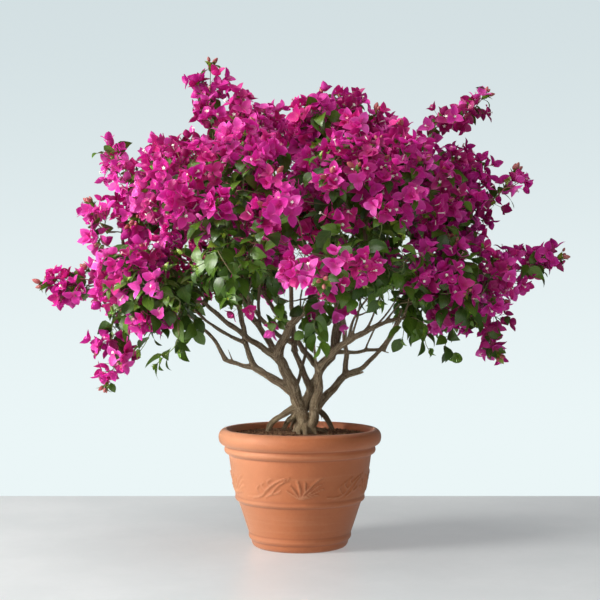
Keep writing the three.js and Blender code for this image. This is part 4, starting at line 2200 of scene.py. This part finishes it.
class Bouquet(NamedTuple):
    """Shoots that are listed: where they end, the way they point, how many, how long and how they are dressed."""

    tip: tuple[float, float, float]
    heading: tuple[float, float, float]
    count: int
    length: float
    habit: Habit


BOUQUETS = (
    Bouquet((0.140, -0.470, 0.668), (0.1, -0.9, -0.1), 2, 0.06, Habit.FULL),
    Bouquet((-0.018, -0.465, 0.664), (-0.1, -0.9, -0.15), 1, 0.075, Habit.FULL),
    Bouquet((-0.065, -0.50, 0.800), (0.0, -0.9, 0.35), 3, 0.09, Habit.FULL),
    Bouquet((-0.25, -0.41, 0.83), (-0.3, -0.8, 0.4), 3, 0.09, Habit.FULL),
    Bouquet((-0.17, -0.45, 0.81), (-0.1, -0.9, 0.4), 2, 0.08, Habit.FULL),
    Bouquet((-0.150, -0.03, 1.090), (0.3, -0.1, 1.0), 1, 0.08, Habit.FULL),
    Bouquet((-0.38, -0.24, 0.565), (-0.6, -0.6, -0.2), 2, 0.09, Habit.FULL),
    Bouquet((-0.33, -0.31, 0.635), (-0.4, -0.8, 0.0), 1, 0.08, Habit.FULL),
    Bouquet((0.37, -0.28, 0.620), (0.5, -0.8, 0.0), 1, 0.08, Habit.FULL),
    Bouquet((-0.33, -0.24, 0.455), (-0.4, -0.3, -0.8), 1, 0.09, Habit.LEAFY),
    Bouquet((-0.28, -0.18, 0.485), (-0.2, -0.3, -0.9), 1, 0.08, Habit.LEAFY),
    Bouquet((-0.38, -0.14, 0.480), (-0.5, -0.2, -0.8), 1, 0.08, Habit.LEAFY),
    Bouquet((0.30, -0.20, 0.485), (0.3, -0.3, -0.9), 1, 0.08, Habit.LEAFY),
    Bouquet((0.24, -0.16, 0.510), (0.2, -0.3, -0.9), 1, 0.07, Habit.LEAFY),
    Bouquet((0.35, -0.14, 0.470), (0.4, -0.3, -0.9), 1, 0.08, Habit.LEAFY),
    Bouquet((-0.135, -0.20, 0.590), (-0.2, -0.5, -0.7), 1, 0.04, Habit.SMALL),
    Bouquet((-0.060, -0.22, 0.556), (-0.1, -0.5, -0.8), 1, 0.04, Habit.SMALL),
    Bouquet((0.042, -0.20, 0.590), (0.1, -0.5, -0.8), 1, 0.04, Habit.SMALL),
    Bouquet((0.075, -0.24, 0.562), (0.1, -0.5, -0.7), 1, 0.04, Habit.SMALL),
    Bouquet((0.112, -0.20, 0.592), (0.2, -0.5, -0.7), 1, 0.04, Habit.SMALL),
    Bouquet((0.010, -0.20, 0.512), (-0.1, -0.4, -0.9), 1, 0.07, Habit.LEAFY),
    Bouquet((0.050, -0.22, 0.500), (0.1, -0.4, -0.9), 1, 0.07, Habit.LEAFY),
    Bouquet((0.035, -0.19, 0.535), (0.3, -0.4, -0.8), 1, 0.06, Habit.LEAFY),
    Bouquet((-0.055, -0.24, 0.565), (-0.2, -0.4, -0.8), 1, 0.05, Habit.LEAFY),
)


# Boughs that bear no branches: they stand bare below the crown.
BARE_BOUGHS = ("bough_left_low", "bough_centre_low", "bough_right_low", "bough_left_reach")

# The shares of a shoot between which it bears bracts, for the habits that bear them along it.
BLOOM_SPANS = {Habit.FULL: (0.36, 1.0), Habit.LEADER: (0.2, 0.72)}
NO_BLOOM = (2.0, 2.0)


@dataclass
class Crown:
    """Branches, twigs, leaves and bracts grown on from the boughs into the frame's masses of leaves.

    The gaps and lengths are in metres, and a shoot's depth is how far inside the crown's skin it is.
    """

    wood: Wood
    effects: Effects
    rng: np.random.Generator
    carrier_gap: float = 0.072
    shoot_gap: float = 0.069
    inner_gap: float = 0.076
    shade_gap: float = 0.086
    shoot_lengths: tuple[float, float] = (0.075, 0.135)
    spray_lengths: tuple[float, float] = (0.05, 0.085)
    inner_lengths: tuple[float, float] = (0.05, 0.09)
    leader_length: float = 0.085
    shade_reach: float = 0.035
    inner_depths: tuple[float, float] = (0.05, 0.13)
    shade_depths: tuple[float, float] = (0.11, 0.24)
    carrier_depth: float = 0.075
    leaf_gap: float = 0.0115
    bract_gap: float = 0.0074
    leader_spacing: float = 1.9
    outer_depth: float = 0.045
    bract_chance: float = 0.84
    bract_chance_inside: float = 0.5
    leaf_chance: float = 0.76
    leaf_chance_below_bracts: float = 0.6
    leaf_chance_among_bracts: float = 0.16
    same_tint_chance: float = 0.7
    flower_chance: float = 0.4
    bud_chance: float = 0.3
    inside_spots: int = 26000
    leave_shares: Sequence[float] = (0.72, 0.8, 0.88, 0.94, 1.0)
    lowest_leave: float = 0.5
    bract_weights: Sequence[float] = (0.36, 0.24, 0.10, 0.15, 0.07, 0.08)
    light_greens: Sequence[float] = (0.53, 0.27, 0.17, 0.03)
    shade_greens: Sequence[float] = (0.50, 0.40, 0.09, 0.01)

    def build(self) -> None:
        """Grows the crown and makes its pieces."""
        names = sorted(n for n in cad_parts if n.startswith("leaves_"))
        self.shape = CrownShape(names, self.rng)
        self._make_patterns()
        shoots, branches = self._grow()
        LOG.info("crown: %d shoots, %d branches", len(shoots), len(branches))
        for line in branches:
            self._draw_branch(line)
        for shoot in shoots:
            self._dress(shoot)
        self._make_pieces()

    def _make_patterns(self) -> None:
        """Makes the variants of each small shape."""
        rng = self.rng
        bracts = [
            BractShape(middle=middle, tip=tip, cup=cup)
            for middle, tip, cup in (
                (22, 38, 0.32), (28, 55, 0.3), (35, 62, 0.26), (42, 70, 0.22), (50, 78, 0.2), (58, 84, 0.18),
                (30, 48, 0.36), (38, 58, 0.3), (46, 66, 0.24), (64, 88, 0.14),
            )
        ]
        self.bracts = Placed([bract_group(shape, rng) for shape in bracts])
        leaves = [
            LeafShape(0.054 * s, 0.039 * w, fold, droop)
            for s, w, fold, droop in (
                (1.0, 1.0, 0.30, 25), (1.05, 0.95, 0.22, 45), (0.95, 1.05, 0.35, 60), (1.1, 1.0, 0.18, 35),
                (0.9, 1.0, 0.42, 50), (1.0, 0.9, 0.26, 75),
            )
        ]
        self.leaves = Placed([shape.pattern(rng.uniform(0, 6)) for shape in leaves])
        young = [LeafShape(0.017, 0.0085, 0.5, droop, 0.04, 2, 4) for droop in (10, 40, 70)]
        self.young = Placed([shape.pattern(rng.uniform(0, 6)) for shape in young])
        self.buds = Placed([bud_pattern(0.017, 0.0105), bud_pattern(0.013, 0.009), bud_pattern(0.021, 0.013)])
        self.flowers = Placed([FlowerShape().pattern()])
        self.stalks, self.shoots, self.limbs = Stalks(), Stalks(), Stalks()

    # ---- growing

    def _habit(self, tip: np.ndarray, way: np.ndarray, depth: float) -> Habit:
        """Deals a shoot its habit.

        Args:
            tip: Where it ends.
            way: The way out of the crown there.
            depth: How deep it is.

        Returns:
            Its habit.
        """
        if depth < 0.1 and self.rng.random() < self.bloom(tip, way):
            return Habit.FULL
        return Habit.LEAFY

    def bloom(self, point: np.ndarray, way: np.ndarray) -> float:
        """Finds how likely a shoot is to bear bracts: more in the top and at the sides.

        Args:
            point: Where it ends.
            way: The way out of the crown there.

        Returns:
            The chance, from 0 to 1.
        """
        x, y, z = point
        high = smoothstep(z, 0.65, 0.76)
        aside = 0.64 * smoothstep(math.hypot(x, 0.62 * y), 0.28, 0.42) * smoothstep(z, 0.42, 0.52)
        share = float(max(high, aside))
        if way[2] < -0.5:
            share *= 0.6
        for patch in PATCHES:
            near = math.exp(-float(((point - patch.centre) ** 2).sum()) / patch.radius**2)
            share += (patch.bloom - share) * near
        return share

    def _outer_shoots(self) -> list[Start]:
        """Places the shoots that make the crown's skin, and a leader at the end of each spray.

        Returns:
            Where they are to stand.
        """
        rng, shape = self.rng, self.shape
        found = []
        axes = {name: spray.axis() for name, spray in shape.sprays.items()}
        owners = self._owners(shape.skin)
        for i in spaced(shape.skin, self.shoot_gap, rng):
            way = shape.out[i]
            depth = rng.uniform(0.006, 0.03)
            tip = shape.skin[i] - way * depth
            if any(np.linalg.norm(tip - gap.centre) < gap.radius for gap in OPENINGS):
                continue
            if owners[i] in axes:
                along = axes[owners[i]]
                heading = unit(0.55 * way + 0.9 * along + rng.normal(0, 0.15, 3))
                length = rng.uniform(*self.spray_lengths)
            else:
                lift = 0.45 if way[2] > -0.2 else -0.1
                heading = unit(way + lift * UPWARD + rng.normal(0, 0.28, 3))
                length = rng.uniform(*self.shoot_lengths)
            for _ in range(4):
                base = tip - heading * length
                if shape.holds(base):
                    in_spray = owners[i] in axes and rng.random() < 0.9
                    habit = Habit.FULL if in_spray else self._habit(tip, way, depth)
                    found.append(Start(base, tip, way, depth, habit))
                    break
                length *= 0.7
        for name, axis in axes.items():
            tip = shape.sprays[name].tip()
            heading = unit(axis + 0.15 * UPWARD)
            found.append(Start(tip - heading * self.leader_length, tip, axis, 0.0, Habit.LEADER))
        return found

    def _owners(self, points: np.ndarray, reach: float = 0.02) -> list[str]:
        """Finds the mass nearest to each point.

        Args:
            points: (n, 3) the points.
            reach: How far a mass may be.

        Returns:
            The masses' names, or "" where none is near.
        """
        found = []
        for point in points:
            near = [(mass.tree.find_nearest(point, reach)[3], name) for name, mass in self.shape.masses.items()]
            near = [pair for pair in near if pair[0] is not None]
            found.append(min(near)[1] if near else "")
        return found

    def _inner_shoots(self, deep: np.ndarray) -> list[Start]:
        """Places the shoots that stand just inside the crown's skin.

        Args:
            deep: (n, 3) spots that may have one.

        Returns:
            Where they are to stand.
        """
        rng, found = self.rng, []
        for i in spaced(deep, self.inner_gap, rng):
            way, depth = self.shape.way_out(deep[i])
            heading = unit(way + 0.4 * UPWARD + rng.normal(0, 0.4, 3))
            length = rng.uniform(*self.inner_lengths)
            start, tip = deep[i] - heading * length * 0.5, deep[i] + heading * length * 0.5
            found.append(Start(start, tip, way, depth, self._habit(tip, way, depth)))
        return found

    def _shade_shoots(self, shade: np.ndarray) -> list[Start]:
        """Places the leafy shoots deep in the crown.

        Args:
            shade: (n, 3) spots that may have one.

        Returns:
            Where they are to stand.
        """
        rng, found = self.rng, []
        for i in spaced(shade, self.shade_gap, rng):
            way, depth = self.shape.way_out(shade[i])
            reach = unit(way + 0.5 * UPWARD + rng.normal(0, 0.6, 3)) * self.shade_reach
            found.append(Start(shade[i] - reach, shade[i] + reach, way, depth, Habit.LEAFY))
        return found

    def _set_shoots(self) -> list[Start]:
        """Places the listed shoots.

        Returns:
            Where they are to stand.
        """
        rng, found = self.rng, []
        for bouquet in BOUQUETS:
            for _ in range(bouquet.count):
                heading = unit(unit(np.array(bouquet.heading)) + rng.normal(0, 0.25, 3))
                tip = bouquet.tip + rng.normal(0, 0.016 if bouquet.count > 1 else 0, 3)
                found.append(Start(tip - heading * bouquet.length, tip, heading, 0.02, bouquet.habit))
        return found

    def _seeded_network(self) -> Network:
        """Starts a network at the ends of the boughs.

        Returns:
            The network, with the spots where branches may leave the boughs.
        """
        network = Network()
        for limb in FRAME_LIMBS + SMALL_LIMBS:
            if not limb.name.startswith("bough") or limb.name in BARE_BOUGHS:
                continue
            line = self.wood.lines[limb.name]
            for share in self.leave_shares:
                spot = line.at(share)
                if spot[2] > self.lowest_leave:
                    radius = float(np.interp(share, line.run / line.length, line.radii))
                    network.seed(spot, line.heading(share), radius, 0.35 * (1 - share))
        return network

    @staticmethod
    def _shoot_line(start: np.ndarray, heading: np.ndarray, tip: np.ndarray) -> LimbLine:
        """Bends a shoot from its branch out to its tip.

        Args:
            start: The end of its branch.
            heading: The way the branch runs there.
            tip: Where the shoot ends.

        Returns:
            Its line, sagging a little where it lies level.
        """
        reach = float(np.linalg.norm(tip - start))
        sag = 0.10 * reach * (1 - abs(unit(tip - start)[2])) * DOWN
        middle = start + 0.35 * reach * unit(heading + 0.8 * unit(tip - start)) - 0.5 * sag
        later = tip - 0.3 * reach * unit(tip - start + 0.2 * reach * UPWARD) - 0.6 * sag
        return LimbLine.through([start, middle, later, tip], 9)

    def _grow(self) -> tuple[list[Shoot], list[LimbLine]]:
        """Grows the branches and the shoots at their ends.

        Returns:
            The shoots and the branches.
        """
        shape = self.shape
        starts = self._outer_shoots()
        inside = shape.inside(self.inside_spots)
        depths = np.array([shape.tree.find(point)[2] for point in inside])

        def between(shallow: float, deep: float) -> np.ndarray:
            """The spots in the crown between two depths."""
            return inside[(depths > shallow) & (depths < deep)]

        starts += self._inner_shoots(between(*self.inner_depths))
        starts += self._shade_shoots(between(*self.shade_depths))
        starts += self._set_shoots()
        core = between(self.carrier_depth, math.inf)
        carriers = core[spaced(core, self.carrier_gap, self.rng)]
        spines = [spray.spine() for spray in shape.sprays.values()]
        bases = np.array([start.base for start in starts])
        network = self._seeded_network()
        ends = network.grow(np.concatenate([carriers, *spines, bases]))[-len(starts) :]
        network.count(ends)
        network.soften(3)
        shoots = []
        for start, node in zip(starts, ends):
            line = self._shoot_line(network.points[node], network.headings[node], start.tip)
            shoots.append(Shoot(line, start.way, start.depth, start.habit))
        return shoots, network.branches()

    def _draw_branch(self, line: LimbLine) -> None:
        """Draws one branch of the network, a little crooked.

        Args:
            line: Its line with its radii.
        """
        thick = line.radii[0]
        sides = 7 if thick > 0.003 else 5
        wobble = self.rng.normal(0, 0.0012, line.points.shape)
        wobble[0] = wobble[-1] = 0
        tint = 2 if thick > 0.0024 else int(self.rng.choice([1, 2]))
        self.limbs.put(line.points + wobble, line.radii, sides, tint)

    # ---- dressing

    def _tilted(self, *parts: np.ndarray, chance: float) -> np.ndarray:
        """Adds directions and some chance into a unit vector."""
        return unit(sum(parts) + self.rng.normal(0, chance, 3))

    def _ring(self, ahead: np.ndarray, angle: float) -> np.ndarray:
        """The direction at an angle round ahead, square to it."""
        first = unit(np.cross(ahead, (0.31, 0.22, 0.92)))
        return first * math.cos(angle) + np.cross(ahead, first) * math.sin(angle)

    def _standing(self, axis: np.ndarray) -> np.ndarray:
        """Turns a small shape by chance round its axis.

        Args:
            axis: Where its +Z points.

        Returns:
            (3, 3) its axes as rows.
        """
        roll = self._ring(axis, self.rng.uniform(0, math.tau))
        return np.stack([roll, np.cross(axis, roll), axis])

    def _stalk(
        self, start: np.ndarray, toward: np.ndarray, length: float, bend: np.ndarray, thick: float
    ) -> np.ndarray:
        """Draws a thin green stalk.

        Args:
            start: Where it leaves its shoot.
            toward: The way it leaves.
            length: Its length.
            bend: The way it bends.
            thick: Its radius.

        Returns:
            Its end.
        """
        end = start + toward * length + bend * length * 0.3
        share = np.linspace(0, 1, 3)[:, None]
        middle = start + toward * length * 0.55
        line = (1 - share) ** 2 * start + 2 * share * (1 - share) * middle + share**2 * end
        self.stalks.put(line, np.full(3, thick), 3, 0)
        return end

    def _bract_tint(self, shoot: Shoot) -> int:
        """Deals a shoot's bracts their tint as painted light and shade: purple on the shade's side, pink towards
        the light, and darker tints deep in the crown.

        Args:
            shoot: The shoot.

        Returns:
            The tint's number in BractTint.
        """
        x = float(shoot.line.points[-1][0])
        _, deep, purple, pink, red, wine = range(6)
        weights = np.array(self.bract_weights)
        weights[[purple, wine]] *= 1 + 1.6 * smoothstep(x, 0.0, 0.5)
        weights[[pink, red]] *= 1 + 0.9 * smoothstep(-x, -0.1, 0.5)
        # Deeper in the crown the darker tints come more often: painted shade.
        if shoot.depth > self.outer_depth:
            weights[[deep, red, wine]] *= 1.6
        return int(self.rng.choice(len(weights), p=weights / weights.sum()))

    def _dress(self, shoot: Shoot) -> None:
        """Sets leaves and bracts along a shoot and finishes its tip.

        Args:
            shoot: The shoot.
        """
        rng, line, habit = self.rng, shoot.line, shoot.habit
        leading = habit is Habit.LEADER
        tint = self._bract_tint(shoot)
        phase = rng.uniform(0, math.tau)
        share_run = np.linspace(0, 1, len(line.points))
        skin = int(rng.choice([0, 0, 1] if habit is Habit.LEAFY else [0, 0, 1, 3]))
        self.shoots.put(line.points, 0.0014 - 0.0007 * share_run, 4, skin)
        low, high = BLOOM_SPANS.get(habit, NO_BLOOM)
        bract_chance = self.bract_chance if shoot.depth < self.outer_depth else self.bract_chance_inside
        leaf_chance = self.leaf_chance_below_bracts if habit is Habit.FULL else self.leaf_chance
        run, k = 0.006, 0
        while run < line.length:
            share = run / line.length
            spot, ahead = line.at(share), line.heading(share)
            side = self._ring(ahead, phase + k * GOLDEN_ANGLE)
            if low < share < high:
                if rng.random() < bract_chance:
                    self._bloom_at(shoot, spot, ahead, side, tint)
                if rng.random() < self.leaf_chance_among_bracts:
                    self._leaf_at(shoot, spot, ahead, -side, 0.62)
                run += self.bract_gap * (self.leader_spacing if leading else 1.0)
            else:
                if rng.random() < leaf_chance:
                    self._leaf_at(shoot, spot, ahead, side, 1.0 - (0.5 if leading else 0.25) * share)
                run += self.leaf_gap
            k += 1
        self._finish_tip(shoot, tint)

    def _bloom_at(self, shoot: Shoot, spot: np.ndarray, ahead: np.ndarray, side: np.ndarray, tint: int) -> None:
        """Sets one flower of three bracts on its stalk.

        Args:
            shoot: The shoot that bears it.
            spot: Where its stalk leaves the shoot.
            ahead: The way the shoot runs there.
            side: The side it is on.
            tint: The tint of the shoot's bracts; some bracts have another.
        """
        rng = self.rng
        leading = shoot.habit is Habit.LEADER
        toward = self._tilted(side, 0.55 * ahead, 0.25 * shoot.way, chance=0.18)
        length = rng.uniform(0.010, 0.028) * (1.35 if leading else 1.0)
        end = self._stalk(spot, toward, length, 0.3 * shoot.way, 0.00055)
        axis = self._tilted(0.8 * toward, 0.5 * shoot.way, 0.15 * UPWARD, chance=0.38)
        axes = self._standing(axis) * (rng.uniform(0.74, 1.02) * (1.1 if leading else 1.0))
        own = tint if rng.random() < self.same_tint_chance else int(rng.integers(0, len(BractTint)))
        self.bracts.put(int(rng.integers(0, len(self.bracts.patterns))), axes, end, own)
        if rng.random() < self.flower_chance:
            axes = self._standing(self._tilted(axis, chance=0.25)) * rng.uniform(0.8, 1.15)
            self.flowers.put(0, axes, end, 0 if rng.random() < 0.75 else 1)

    def _leaf_at(self, shoot: Shoot, spot: np.ndarray, ahead: np.ndarray, side: np.ndarray, size: float) -> None:
        """Sets one leaf on its stalk, hanging a little.

        Args:
            shoot: The shoot that bears it.
            spot: Where its stalk leaves the shoot.
            ahead: The way the shoot runs there.
            side: The side it is on.
            size: Its size, as a share of a full leaf.
        """
        rng = self.rng
        toward = self._tilted(side, 0.5 * ahead, 0.2 * UPWARD, chance=0.12)
        end = self._stalk(spot, toward, rng.uniform(0.006, 0.013), 0.3 * DOWN, 0.0006)
        hang = rng.uniform(0.15, 1.1)
        blade = self._tilted(0.85 * side, 0.25 * ahead, 0.25 * shoot.way, hang * DOWN, chance=0.15)
        upper = self._tilted(0.8 * UPWARD, 0.75 * shoot.way, chance=0.3)
        axes = facing(blade[None], upper[None], np.array([size * rng.uniform(0.68, 1.02)]))[0]
        shade = spot[2] < 0.7 or shoot.depth > 0.05
        tint = int(rng.choice(len(LeafTint), p=self.shade_greens if shade else self.light_greens))
        self.leaves.put(int(rng.integers(0, len(self.leaves.patterns))), axes, end, tint)

    def _finish_tip(self, shoot: Shoot, tint: int) -> None:
        """Ends a shoot in young leaves, and in more bracts or buds where it blooms.

        Args:
            shoot: The shoot.
            tint: The tint of its bracts.
        """
        rng, line, habit = self.rng, shoot.line, shoot.habit
        tip, ahead = line.points[-1], line.heading(1.0)
        turn = rng.uniform(0, math.tau)
        leading = habit is Habit.LEADER
        for k in range(int(rng.integers(3, 6)) + 2 * leading):
            side = self._ring(ahead, turn + k * GOLDEN_ANGLE)
            blade = self._tilted(0.7 * side, 0.8 * ahead, chance=0.2)
            size = rng.uniform(0.6, 1.25) * (1.5 if leading else 1.0)
            axes = facing(blade[None], (ahead - 0.4 * side)[None], np.array([size]))[0]
            self.young.put(int(rng.integers(0, 3)), axes, tip - ahead * 0.002 * k, 3 if rng.random() < 0.45 else 2)
        full = int(rng.integers(1, 4)) * (shoot.depth < self.outer_depth)
        groups = {Habit.FULL: full, Habit.SMALL: 2}.get(habit, 0)
        for k in range(groups):
            side = self._ring(ahead, turn + 1.3 + k * GOLDEN_ANGLE)
            self._bloom_at(shoot, tip - ahead * 0.004 * k, unit(ahead + 0.4 * shoot.way), side, tint)
        buds = 3 if leading else int(rng.integers(1, 4)) * (habit is Habit.FULL and rng.random() < self.bud_chance)
        for k in range(buds):
            side = self._ring(ahead, turn + 2.2 + k * GOLDEN_ANGLE)
            toward = self._tilted(0.6 * side, ahead, chance=0.15)
            end = self._stalk(tip, toward, rng.uniform(0.006, 0.016), 0.2 * UPWARD, 0.0005)
            axes = self._standing(toward)
            self.buds.put(int(rng.integers(0, 3)), axes * rng.uniform(0.75, 1.1), end, int(rng.integers(0, 2)))

    # ---- pieces

    def _make_pieces(self) -> None:
        """Joins each kind into its pieces and dresses them."""
        effects = self.effects
        masses = self.shape.masses
        left = [name for name, mass in masses.items() if mass.middle()[0] < 0]
        right = [name for name, mass in masses.items() if mass.middle()[0] >= 0]
        bracts = [bract_finish(f"bract_{t.name.lower()}", t.value).material(effects) for t in BractTint]
        greens = [leaf_finish(f"leaf_{t.name.lower()}", t.value).material(effects) for t in LeafTint]
        skins = [
            Flesh(f"shoot_{t.name.lower()}", 0.6, t.value, tuple(c * 0.6 for c in t.value)).material(effects)
            for t in ShootTint
        ]
        petals = [
            Flesh("flower_cream", 0.5, (0.92, 0.90, 0.84), (0.84, 0.80, 0.58)).material(effects),
            Flesh("flower_blush", 0.5, (0.80, 0.45, 0.50), (0.70, 0.30, 0.36)).material(effects),
        ]
        bud_skins = [
            Flesh("bud_rose", 0.55, (0.46, 0.085, 0.11), (0.30, 0.12, 0.06)).material(effects),
            Flesh("bud_dusk", 0.55, (0.52, 0.13, 0.16), (0.25, 0.17, 0.05)).material(effects),
        ]
        both = left + right
        inf = math.inf
        for name, source, span, finishes, slot, replaced in (
            ("bracts_left", self.bracts, (-inf, -0.17), bracts, "foliage", left),
            ("bracts_middle", self.bracts, (-0.17, 0.15), bracts, "foliage", both),
            ("bracts_right", self.bracts, (0.15, inf), bracts, "foliage", right),
            ("leaves_left", self.leaves, (-inf, 0.0), greens, "foliage", left),
            ("leaves_right", self.leaves, (0.0, inf), greens, "foliage", right),
            ("young_leaves", self.young, (), greens, "foliage", both),
            ("buds", self.buds, (), bud_skins, "foliage", both),
            ("flowers", self.flowers, (), petals, "foliage", both),
            ("branches", self.limbs, (), skins, "bark", both),
            ("shoots", self.shoots, (), skins, "foliage", both),
            ("stalks", self.stalks, (), skins, "foliage", both),
        ):
            heap = Heap(name)
            source.pour(heap, *span)
            settle(heap.build(finishes), slot, replaced)


# ---------------------------------------------------------------- the studio


@dataclass(frozen=True)
class Lamp:
    """A soft square lamp: where it stands, what it lights, its size and its power."""

    name: str
    place: tuple[float, float, float]
    aim: tuple[float, float, float]
    size: float
    power: float
    tint: Colour = (1.0, 1.0, 1.0)
    spread: float = 180.0


@dataclass
class Studio:
    """The pale floor, the pale backdrop, the soft lamps and the camera."""

    camera_place: tuple[float, float, float] = (0.0, -3.158, 0.604)
    lens: float = 76.74
    sensor: float = 36.0
    floor_edge: float = 0.783
    floor_front: float = -4.2
    floor_reach: float = 4.0
    lamps: Sequence[Lamp] = (
        Lamp("key", (-3.6, -1.5, 1.85), (0, 0, 0.6), 1.3, 210.0, (1.0, 0.985, 0.955)),
        Lamp("low", (-2.9, -2.1, 0.80), (0, 0, 0.44), 0.5, 0.6, (1.0, 0.98, 0.94), 16.0),
        Lamp("top", (-0.6, -0.6, 3.6), (0, 0, 0.6), 2.4, 66.0, (1.0, 0.99, 0.98)),
        Lamp("fill", (1.0, -4.2, 1.6), (0, 0, 0.6), 2.4, 31.0, (1.0, 0.99, 0.98)),
    )
    sky_high: Colour = linear(211, 223, 226)
    sky_low: Colour = linear(235, 246, 247)
    ambient: float = 0.15
    glow: float = 0.29

    def build(self) -> None:
        """Sets the whole studio up."""
        self._floor()
        self._world()
        for lamp in self.lamps:
            self._lamp(lamp)
        self._camera()
        bpy.context.scene.view_settings.view_transform = "Standard"

    def _floor(self) -> None:
        """A pale, smooth slab that ends in a straight edge behind the pot."""
        bm = bmesh.new()
        bmesh.ops.create_grid(bm, x_segments=1, y_segments=1, size=1)
        for vert in bm.verts:
            vert.co = (vert.co.x * self.floor_reach, self.floor_edge if vert.co.y > 0 else self.floor_front, 0)
        mesh = mesh_of(bm, "floor")
        material, sheet, shader = Finish("floor", 0.34).begin()
        clouds = sheet.noise(sheet.place(), 3.0, 5.0, 0.6)
        fine = sheet.noise(sheet.place(), 60.0, 3.0)
        base = sheet.colour(sheet.span(clouds, 0.35, 0.7, 0.0, 1.0), (0.43, 0.45, 0.45), (0.49, 0.505, 0.505))
        base = sheet.colour(sheet.span(fine, 0.4, 0.7, 0.0, 0.2), base, (0.42, 0.42, 0.41))
        sheet.feed(shader.inputs["Base Color"], base)
        sheet.feed(shader.inputs["Emission Color"], (0.94, 0.98, 1.0))
        shader.inputs["Emission Strength"].default_value = self.glow
        made_object("floor", mesh, [material])

    def _world(self) -> None:
        """A pale backdrop that the camera sees, and a dimmer light from all round."""
        world = bpy.data.worlds.new("studio")
        world.use_nodes = True
        bpy.context.scene.world = world
        sheet = Sheet(world.node_tree)
        way = sheet.parts(sheet.node("ShaderNodeTexCoord").outputs["Generated"])
        backdrop = sheet.colour(sheet.span(way[2], -0.12, 0.26), self.sky_low, self.sky_high)
        seen = sheet.node("ShaderNodeBackground")
        sheet.feed(seen.inputs["Color"], backdrop)
        lighting = sheet.node("ShaderNodeBackground")
        left = sheet.span(way[0], -1.0, 1.0, 1.25, 0.6)
        sheet.feed(lighting.inputs["Color"], (0.97, 0.99, 1.0))
        sheet.feed(lighting.inputs["Strength"], sheet.times(left, self.ambient))
        both = sheet.node("ShaderNodeMixShader")
        sheet.feed(both.inputs[0], sheet.node("ShaderNodeLightPath").outputs["Is Camera Ray"])
        sheet.feed(both.inputs[1], lighting.outputs[0])
        sheet.feed(both.inputs[2], seen.outputs[0])
        sheet.feed(world.node_tree.nodes["World Output"].inputs["Surface"], both.outputs[0])

    @staticmethod
    def _lamp(lamp: Lamp) -> None:
        """Hangs one lamp.

        Args:
            lamp: The lamp.
        """
        light = bpy.data.lights.new(lamp.name, "AREA")
        light.shape, light.size, light.energy, light.color = "SQUARE", lamp.size, lamp.power, lamp.tint
        light.spread = math.radians(lamp.spread)
        hung = bpy.data.objects.new(lamp.name, light)
        hung.location = lamp.place
        hung.rotation_euler = (Vector(lamp.aim) - Vector(lamp.place)).to_track_quat("-Z", "Y").to_euler()
        bpy.context.scene.collection.objects.link(hung)

    def _camera(self) -> None:
        """Stands the camera level in front of the bush."""
        camera = bpy.data.cameras.new("camera")
        camera.lens, camera.sensor_width = self.lens, self.sensor
        held = bpy.data.objects.new("camera", camera)
        held.location = self.camera_place
        held.rotation_euler = (math.pi / 2, 0, 0)
        bpy.context.scene.collection.objects.link(held)
        bpy.context.scene.camera = held


def write_sizes() -> None:
    """Updates the view layer."""
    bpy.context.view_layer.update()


def main() -> None:
    """Builds the pot, the soil, the wood, the crown and the studio, in that order."""
    logging.basicConfig(level=logging.INFO, format="%(message)s")
    effects = Effects()
    rng = np.random.default_rng(2026)
    Pot().build(Terracotta("terracotta", 0.88).material(effects))
    Soil().build(PottingSoil("potting_soil", 0.95).material(effects), rng)
    wood = Wood()
    wood.build(Bark("bark", 0.85).material(effects))
    Crown(wood, effects, rng).build()
    Studio().build()
    write_sizes()


if __name__ == "__main__":
    main()
